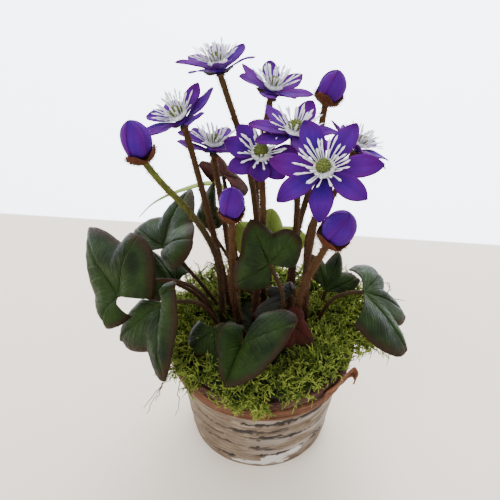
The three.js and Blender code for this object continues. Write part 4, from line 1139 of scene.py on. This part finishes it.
def moss_mound():
    """The dense lower moss: the part's mound with a rough, lumpy top."""
    rows, columns = 300, 44
    turn = bearings(rows)[:, None]
    edge = spill(turn)
    share = np.linspace(0, 1, columns - 4)[None, :]
    top_r = edge - (edge - 3) * share
    top_z = mound_height(turn, top_r)
    lumps = grain(turn / (2 * np.pi), share, 40, 12, 5, 3)
    under_r = np.concatenate([3 + 0 * turn, 37.5 + 0 * turn, 40 + 0 * turn, edge - 1], axis=1)
    under_z = np.array([63, 63, RIM_TOP + 0.2, RIM_TOP + 0.9])[None, :] + 0 * turn
    radius = np.concatenate([under_r, top_r], axis=1)
    height = np.concatenate([under_z, top_z - 1.6 + 1.6 * lumps * ease(share, 0, 0.05)], axis=1)
    # Painted shade: the hollows between the lumps get a lower depth and a higher tone, both darker, and the
    # hidden underside the darkest of both
    depth = np.concatenate([0 * under_r, 0.1 + 0.15 * lumps + 0 * top_r], axis=1)
    uv = grid_of(turn / (2 * np.pi), depth)
    tone = np.concatenate([1 + 0 * under_r, 0.9 - 0.4 * lumps], axis=1)
    return ring_wall(radius, height, uv, np.clip(tone, 0, 1).ravel())


def held_in(y):
    """Depth in mm, eased past 46 at the back and 52 at the front so that strands stay above the rim."""
    back, front = np.maximum(y - 46, 0), np.minimum(y + 52, 0)
    return y - back + 8.5 * np.tanh(back / 8.5) - front + 8.5 * np.tanh(front / 8.5)


def painted_shade_among_stalks(points):
    """Painted shade on the moss among the stalks: how much darker it is, as a bell curve round the middle of
    the crown.
    """
    return 0.85 * np.exp(-((points[:, 0] + 5) ** 2 + (points[:, 1] + 14) ** 2) / 24 ** 2)


# Main strands, side strands and tips: steps along each, radius, how many fork off it, how steeply and at
# what share of its length
STRAND_ORDERS = ((5, 0.48, 4, 0.9, 0.6), (4, 0.4, 3, 0.95, 0.56), (3, 0.33, 0, 0, 0))


def strand_field(count, seed, start, way, length, dark):
    """Forked moss strands. Each tuft has a main strand, side strands at steep angles and short tips on
    those, all three-sided tubes. UV runs to 1 at the outermost tips."""
    rng = np.random.default_rng(seed)
    parts = []
    base, direction, reach = start, unit(way), length
    # dark holds each tuft's random tone plus painted shade among the stalks
    low, tone_and_shade = np.zeros(count), dark
    for steps, thick, forks, spread, ratio in STRAND_ORDERS:
        n = len(base)
        t = np.linspace(0, 1, steps)[None, :, None]
        bend = rng.normal(0, 0.28, (n, 1, 3)) + np.array([0, 0, -0.12])
        curve = direction[:, None, :] * t + bend * t ** 2 + rng.normal(0, 0.05, (n, steps, 3)) * t
        points = base[:, None, :] + curve * reach[:, None, None]
        points[..., 1] = held_in(points[..., 1])
        radii = thick * np.linspace(1, 0.45, steps)[None, :] * np.ones((n, 1))
        part = tubes(points, radii, 3, tone=tone_and_shade)
        top = low + (0.4 if forks else 1.0 - low)
        v = part["uv"][:, 1].reshape(n, -1)
        depth = low[:, None] + (top - low)[:, None] * v
        part["uv"] = np.stack([part["uv"][:, 0], depth.ravel()], axis=-1)
        parts.append(part)
        if not forks:
            break
        place = (np.arange(forks) + 1 + rng.uniform(-0.3, 0.3, (n, forks))) / forks
        place = np.clip(0.15 + 0.85 * place, 0.1, 1.0)
        f = place * (steps - 1)
        i = np.clip(np.floor(f).astype(int), 0, steps - 2)
        rows = np.arange(n)[:, None]
        foot = points[rows, i] + (points[rows, i + 1] - points[rows, i]) * (f - i)[..., None]
        heading = unit(points[rows, i + 1] - points[rows, i])
        aside = unit(heading + spread * unit(rng.normal(0, 1, (n, forks, 3))))
        base, direction = foot.reshape(-1, 3), aside.reshape(-1, 3)
        reach = (reach[:, None] * ratio * rng.uniform(0.7, 1.25, (n, forks))).ravel()
        low = (low[:, None] + (top - low)[:, None] * place).ravel()
        # Each finer order of forks keeps four fifths of the darkness: painted shade that lifts towards the
        # outer tips
        tone_and_shade = np.repeat(tone_and_shade, forks) * 0.8
    return parts


# Fields of strands: name, seed, count, bearings, radii, length, outward lean and droop
MOSS_FIELDS = (("moss_strands_front", 11, 560, (180, 360), (26, 49.5), 6.8, 1.0),
               ("moss_strands_back", 12, 520, (0, 180), (24, 50), 6.8, 1.1),
               ("moss_spill_front", 13, 46, (254, 272), (47, 51), 6.0, 1.6, 1.4),
               ("moss_airy_right", 14, 80, (-14, 34), (45, 51), 11.5, 2.6, 0.5),
               ("moss_spill_left", 15, 30, (205, 228), (47, 51), 6.5, 1.6, 1.0))


def moss_strands(name, seed, count, turns, radii, length, lean, drop=0.0):
    """One field of strands rooted on the mound between two bearings and two radii."""
    rng = np.random.default_rng(seed)
    turn = np.radians(rng.uniform(*turns, count))
    radius = rng.uniform(*radii, count)
    radius = np.minimum(radius, spill(turn) - 0.6)
    out = np.stack([np.cos(turn), np.sin(turn), 0 * turn], axis=-1)
    start = out * radius[:, None] + np.array([0, 0, 1.0]) * (mound_height(turn, radius) - 1.2)[:, None]
    outward = lean * rng.uniform(0.2, 1.2, (count, 1)) * ease(radius, 30, 48)[:, None]
    way = np.array([0, 0, 1.0]) + out * outward
    way = way + rng.normal(0, 0.5, (count, 3)) + np.array([0, 0, -drop])
    skin = Skin()
    # Each tuft's darkness: a random tone plus painted shade among the stalks
    for part in strand_field(count, seed + 1, start, way, length * rng.uniform(0.7, 1.25, count),
                             np.clip(rng.uniform(0, 0.75, count) ** 2 + painted_shade_among_stalks(start), 0, 1)):
        skin.add(**part)
    build_piece(name, skin, MOSS, "moss", ["moss"])


# ---- Pot ----

def bark_radius(z):
    """Outer radius of the bark at a height."""
    return BASE_RADIUS + (BARK_TOP_RADIUS - BASE_RADIUS) * z / BARK_HEIGHT


# Ragged splits in the bark: height, bearing of the middle and half its spread, in degrees, and depth
SPLITS = [(54.0, 200, 210, 1.0), (47.0, 250, 60, 1.1), (44.5, 100, 120, 0.9), (40.5, 285, 48, 1.3),
          (33.5, 262, 52, 1.3), (35.0, 60, 70, 1.1), (26.0, 292, 40, 1.2), (24.0, 190, 60, 1.2),
          (18.0, 258, 46, 1.0), (14.0, 20, 80, 1.1), (11.5, 300, 38, 0.9), (8.0, 230, 30, 1.0),
          (6.0, 120, 60, 1.0)]

# White patches where the bark has peeled: bearing, height, half width in degrees and half height
PEELED = [(284, 6.0, 11, 3.6), (298, 10.0, 6, 3.2), (262, 3.0, 12, 2.0), (150, 20, 14, 6), (60, 48, 12, 4)]


def bark_wrap():
    """The bark: a wall with long level splits, each a groove that wanders, breaks up and frays."""
    rows, columns = 560, 88
    turn = bearings(rows)[:, None]
    u = turn / (2 * np.pi)
    z = np.linspace(0, BARK_HEIGHT, columns)[None, :]
    v = z / BARK_HEIGHT
    mask, torn = np.zeros((rows, columns)), grain(u, v, 110, 64, 59, 2)
    for i, (height, bearing, spread, depth) in enumerate(SPLITS):
        away = np.abs((np.degrees(turn) - bearing + 180) % 360 - 180)
        wander = 1.6 * grain(u, 0 * u, 9, 1, 20 + i) + 0.8 * np.sin(3 * turn + i)
        width = depth * (0.95 + 1.7 * grain(u, 0 * u, 30, 1, 40 + i, 4))
        width = width * ease(away, spread, spread * 0.6)
        ragged = width + 1.3 * torn * ease(width, 0.1, 0.6)
        mask = np.maximum(mask, ease(ragged - np.abs(z - height - wander), -0.1, 0.3) * (width > 0))
    fray = grain(u, v, 46, 40, 60, 3)
    mask = np.clip(mask * (1.25 + 1.5 * fray), 0, 1)
    swell = 0.35 * grain(u, v, 14, 4, 61, 2) + 0.22 * grain(u, v, 20, 60, 62, 2)
    layer = 0.3 * ease(grain(u, v, 10, 16, 63, 3), 0.0, 0.12)
    out = bark_radius(z) + (swell + layer - 0.75 * mask) * ease(v, -0.01, 0.02) * ease(v, 1.01, 0.98)
    white = np.zeros((rows, columns))
    for bearing, height, wide, tall in PEELED:
        away = ((np.degrees(turn) - bearing + 180) % 360 - 180) / wide
        white = np.maximum(white, ease(1.2 - away ** 2 - ((z - height) / tall) ** 2 + 1.6 * fray, 0.0, 0.5))
    # Painted light: the side of the pot towards a bearing of 322 degrees is paler in patches, as where light
    # falls on it
    pale = ease(np.cos(turn - math.radians(322)), 0.3, 0.95)
    pale = pale * ease(grain(u, v, 12, 14, 66, 3), -0.3, 0.3)
    white = np.maximum(white, 0.4 * pale) * (1 - mask)
    inner_z = np.array([BARK_HEIGHT, BARK_HEIGHT, 40, 20, 0, 0])[None, :] + 0 * turn
    inset = np.array([0.5, BARK_THICKNESS, BARK_THICKNESS, BARK_THICKNESS, BARK_THICKNESS, 0.6])
    radius = np.concatenate([out, bark_radius(inner_z) - inset], axis=1)
    height = np.concatenate([z + 0 * turn, inner_z], axis=1)
    uv = grid_of(u, height / BARK_HEIGHT)
    pad = ((0, 0), (0, 6))
    skin = Skin().add(**ring_wall(radius, height, uv, np.pad(mask, pad).ravel(), np.pad(white, pad).ravel()))
    build_piece("birch_bark_peeling", skin, BIRCH, "birch_bark", ["birch_bark_wrap"])


def vine(middle_r, middle_z, wide, tall, seed, twist):
    """A long thin strip of bark bent round the pot: a flattened section whose edge is grooved lengthwise,
    the grooves winding slowly round it. All four values are arrays round the pot."""
    rows, columns = len(middle_r), 18
    turn = bearings(rows)[:, None]
    round_it = (np.arange(columns) / columns)[None, :]
    angle = -2 * np.pi * round_it
    u = turn / (2 * np.pi)
    groove = np.abs(np.sin(2.5 * angle + twist * turn + 0.8 * np.sin(5 * turn + seed))) ** 0.6
    fibre = grain(u, (round_it + 0.03 * np.sin(9 * turn)) % 1, 30, 16, seed, 3)
    share = 0.8 + 0.2 * groove + 0.13 * fibre
    radius = middle_r[:, None] + wide[:, None] * np.cos(angle) * share
    height = middle_z[:, None] + tall[:, None] * np.sin(angle) * share
    # The tone is painted shade in the grooves between the raised fibres, with darker fibres as grain
    tone = np.clip(1.05 - 1.15 * groove - 0.6 * fibre, 0, 1)
    uv = grid_of(u, round_it)
    return ring_wall(radius, height, uv, tone.ravel())


def uneven(turn, count, seed):
    """Smooth random values from -1 to 1 round the pot, count of them to a turn."""
    return grain(turn / (2 * np.pi), 0 * turn, count, 1, seed, 2)


# Section of a strip's band: share of its height and of half its thickness, up the outside and back
BAND_SECTION = ((0.08, 0.7), (0.3, 1.0), (0.5, 1.0), (0.7, 1.0), (0.92, 0.7), (0.92, 0.0), (0.08, 0.0))


def rim_band(name, finish, slot, node_name, inside, thickness, low, high, seed):
    """A rim strip: a thin band of bark with three vine-like strips wound over it that cross each other,
    and loose splinters. inside, low and high are functions of the bearing."""
    rows = 420
    turn = bearings(rows)
    column = turn[:, None]
    low_z, high_z = low(column), high(column)
    share, inset = np.array(BAND_SECTION).T
    z = low_z + (high_z - low_z) * share
    radius = inside(column, z) + 0.5 * thickness * inset
    uv = grid_of(column / (2 * np.pi), np.linspace(0, 0.9, len(share))[None, :])
    # The band under the vines gets tone 0.8: painted shade under them
    skin = Skin().add(**ring_wall(radius, z, uv, 0.8))
    rng = np.random.default_rng(seed)
    for i, place in enumerate((0.2, 0.52, 0.82)):
        wander = 0.2 * uneven(turn, 4, seed + 3 * i)
        share = np.clip(place + wander, 0.14, 0.86)
        span = high_z[:, 0] - low_z[:, 0]
        tall = span * (0.2 + 0.07 * uneven(turn, 7, seed + 3 * i + 1))
        wide = 1.0 + 0.35 * uneven(turn, 6, seed + 3 * i + 2)
        middle_z = low_z[:, 0] + span * share
        out = 0.5 * thickness + 0.55 * uneven(turn, 5, seed + 20 + i) + 0.5
        twist = rng.integers(-3, 4)
        skin.add(**vine(inside(turn, middle_z) + out, middle_z, wide, tall, seed + 40 + i, twist))
    count = 60
    start = rng.uniform(0, 2 * np.pi, count)[:, None]
    t = np.linspace(0, 1, 9)[None, :]
    a = start + rng.uniform(0.15, 0.5, (count, 1)) * t
    share = rng.uniform(0.1, 0.95, (count, 1))
    share = np.clip(share + rng.uniform(-0.25, 0.25, (count, 1)) * t, 0.05, 1)
    zz = low(a) + (high(a) - low(a)) * share
    rr = inside(a, zz) + thickness + 0.1 + rng.uniform(0, 1.2, (count, 1)) * (2 * t - 1) ** 2
    paths = np.stack([rr * np.cos(a), rr * np.sin(a), zz], axis=-1)
    radii = rng.uniform(0.2, 0.5, (count, 1)) * np.sin(np.pi * np.clip(t, 0.08, 0.94))
    skin.add(**tubes(paths, radii, 5, flat=0.6))
    build_piece(name, skin, finish, slot, [node_name])


def strip_shape(clear, low, high, thickness, wander, turns, phase):
    """Inner radius, thickness, lower and upper edge of a strip that waves up and down round the pot."""
    def lift(a):
        return wander * np.sin(turns * a + phase)

    def inside(a, z):
        return bark_radius(z) + clear + 0.3 * wander * (1 + np.cos((turns + 1) * a + phase))

    return inside, thickness, lambda a: low + lift(a), lambda a: high + lift(a)


def rim_strips():
    """The three strips. The inner one stands inside the top of the bark."""
    inner = (lambda a, z: 43.6 + 0 * a + 0 * z, 2.6,
             lambda a: 62 + 0 * a, lambda a: 66.2 + 0.5 * np.sin(4 * a + 1))
    for name, finish, slot, shape, seed in (
            ("rim_strip_outer", STRIP_ORANGE, "strip_orange", strip_shape(**OUTER_STRIP), 300),
            ("rim_strip_middle", STRIP_RED, "strip_red", strip_shape(**MIDDLE_STRIP), 400),
            ("rim_strip_inner", STRIP_GREY, "strip_grey", inner, 500)):
        rim_band(f"{name}_bark", finish, slot, name, *shape, seed)


def loose_bark():
    """The curled loose end of the outer strip on the right, as one closed plate."""
    path = smooth_path([(31, -40.6, 59), (36.6, -36, 60), (41.4, -30.6, 61.4), (45.4, -26, 61),
                        (47.6, -24.6, 60.4), (48.7, -26, 58.8), (48, -27.8, 57.8)], 46)
    s = np.linspace(-1, 1, 13)[None, :]
    share = np.linspace(0, 1, 46)[:, None]
    half = 3.9 - 0.8 * share + 0.35 * grain(share, 0 * share, 9, 1, 77)
    tilt = np.array([0.15, -0.1, 1.0])
    points = path[:, None] + tilt * (half * s + 0.3 * s * np.sin(9 * share))[..., None]
    points = points + np.array([0.3, -0.5, 0]) * grain(share, (s + 1) / 2, 7, 9, 78)[..., None]
    uv = grid_of(share * 0.1, s * 0.5 + 0.5)
    skin = Skin().add(**plate(points, 0.7, uv, tone=0.25 * (1 - np.abs(s)) + 0 * share, under=0.0))
    build_piece("rim_strip_loose_end", skin, STRIP_ORANGE, "strip_orange", ["rim_strip_outer"])


def loose_fibres():
    """Thin root fibres that hang over the rim on the left, and two straws on its front."""
    roots = [((-43, -20, 65.5), (-48, -24, 60), (-51, -27, 53), (-56, -29, 45), (-62, -30, 36.5)),
             ((-43, -21, 65.5), (-48.5, -25, 59), (-51, -27.5, 52), (-57, -29.5, 42), (-60.4, -30, 31)),
             ((-51, -27, 53), (-52.5, -27, 47), (-55.4, -28.5, 40.5)),
             ((-38, -29, 66.5), (-41, -31.5, 62), (-42.5, -32, 52), (-43, -30, 39), (-46, -30, 31)),
             ((34, 20, 70), (40, 24, 79), (49, 23, 80), (58, 20, 74))]
    straws = [((1, -46.5, 72), (1.4, -50.5, 71), (2.6, -52.4, 65), (4.2, -52, 57)),
              ((1.2, -48, 66), (4.5, -51.6, 64), (11.4, -52, 60.4))]
    skin = Skin()
    for i, route in enumerate(roots + straws):
        path = smooth_path(route, 30)
        t = np.linspace(0, 1, 30)
        wobble = np.stack([grain(t, 0 * t, 8, 1, 3 * i + axis, 2) for axis in range(3)], axis=-1)
        straw = i >= len(roots)
        radii = (0.3 if straw else 0.26) * np.linspace(1, 0.6, 30)
        part = tubes((path + (0.2 if straw else 0.9) * wobble)[None], radii[None], 6)
        part["tone"] = part["tone"] + (1.0 if straw else 0.0)
        skin.add(**part)
    build_piece("loose_fibres", skin, FIBRE, "strip_grey", ["moss"])


for index, spec in enumerate(FLOWERS):
    petals_of(index, spec)
    stamens_of(index, spec)
    carpels_of(index, spec)
    flower_stem(index, spec)
for index, spec in enumerate(BUDS):
    bud_tepals(index, spec)
    bud_stem(index, spec)
for index, (name, group) in enumerate(LEAVES.items()):
    leaves_of(name, group, 1000 + 20 * index)
strap_leaf()
build_piece("moss_mound", Skin().add(**moss_mound()), MOSS, "moss", ["moss"])
for field in MOSS_FIELDS:
    moss_strands(*field)
bark_wrap()
rim_strips()
loose_bark()
loose_fibres()
for name, finish in (("liner_cup", LINER), ("soil_filling", FILLING)):
    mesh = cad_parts[name].data
    mesh.materials.clear()
    mesh.materials.append(finish)


# ---- Floor, lights and camera ----

def set_floor():
    """A plain pale table top under the pot and a pale wall far behind it, as one bent sheet."""
    rows = [(-3000, 0), (900, 0), (1010, 6), (1060, 30), (1080, 80), (1080, 1800)]
    points = [(x * MM * 2, y * MM, z * MM) for y, z in rows for x in (-1500, 1500)]
    faces = [(2 * i, 2 * i + 1, 2 * i + 3, 2 * i + 2) for i in range(len(rows) - 1)]
    mesh = bpy.data.meshes.new("floor")
    mesh.from_pydata(points, [], faces)
    mesh.polygons.foreach_set("use_smooth", np.full(len(faces), True))
    f = Finish("pale floor", Roughness=0.55)
    t = f.tree
    depth = node(t, "ShaderNodeSeparateXYZ", {0: f.object}).outputs
    slant = calc(t, "ADD", depth["Y"], calc(t, "MULTIPLY", depth["X"], 0.0825))
    cloud = noise(t, f.object, 3.0, 2.0)
    table = blend(t, band(t, cloud, 0.3, 0.7), paint(230, 217, 196), paint(236, 224, 206))
    wall = band(t, slant, 0.1915, 0.194)
    f.colour(blend(t, wall, table, paint(250, 251, 255)))
    t.links.new(blend(t, wall, (0, 0, 0, 1), paint(238, 244, 255)), f.shader.inputs["Emission Color"])
    f.shader.inputs["Emission Strength"].default_value = 2.8
    f.relief(noise(t, f.object, 400.0, 2.0), 0.0002, 0.15)
    mesh.materials.append(f.material)
    floor = bpy.data.objects.new("floor", mesh)
    bpy.context.scene.collection.objects.link(floor)


def add_light(name, at, toward, size, power):
    """A round soft light at a place, turned towards another."""
    data = bpy.data.lights.new(name, "AREA")
    data.shape, data.size, data.energy = "DISK", size, power
    light = bpy.data.objects.new(name, data)
    light.location = at
    way = Vector(toward) - Vector(at)
    light.rotation_euler = way.to_track_quat("-Z", "Y").to_euler()
    bpy.context.scene.collection.objects.link(light)


def set_lights():
    """Pale light from all round, a window behind on the right and a weaker fill in front on the left."""
    world = bpy.data.worlds.new("soft room")
    world.use_nodes = True
    background = world.node_tree.nodes["Background"]
    background.inputs["Color"].default_value = (0.93, 0.95, 1.0, 1)
    background.inputs["Strength"].default_value = 1.35
    bpy.context.scene.world = world
    add_light("back window", (0.25, 0.75, 0.85), (0, 0, 0.1), 0.7, 13.0)
    add_light("front fill", (-0.5, -0.7, 0.9), (0, 0, 0.12), 0.8, 7.0)


def set_camera():
    """The camera of the photograph: looking along +Y, tilted down by its pitch and then rolled."""
    pitch, roll = math.radians(CAMERA_PITCH), math.radians(CAMERA_ROLL)
    right = Vector((1, 0, 0))
    forward = Vector((0, math.cos(pitch), -math.sin(pitch)))
    up = Vector((0, math.sin(pitch), math.cos(pitch)))
    x = right * math.cos(roll) + up * math.sin(roll)
    y = up * math.cos(roll) - right * math.sin(roll)
    matrix = Matrix((x, y, -forward)).transposed().to_4x4()
    matrix.translation = Vector(CAMERA_AT) * MM
    data = bpy.data.cameras.new("camera")
    data.lens, data.sensor_width, data.clip_start = CAMERA_LENS, 36.0, 0.01
    camera = bpy.data.objects.new("camera", data)
    camera.matrix_world = matrix
    bpy.context.scene.collection.objects.link(camera)
    bpy.context.scene.camera = camera


set_floor()
set_lights()
set_camera()
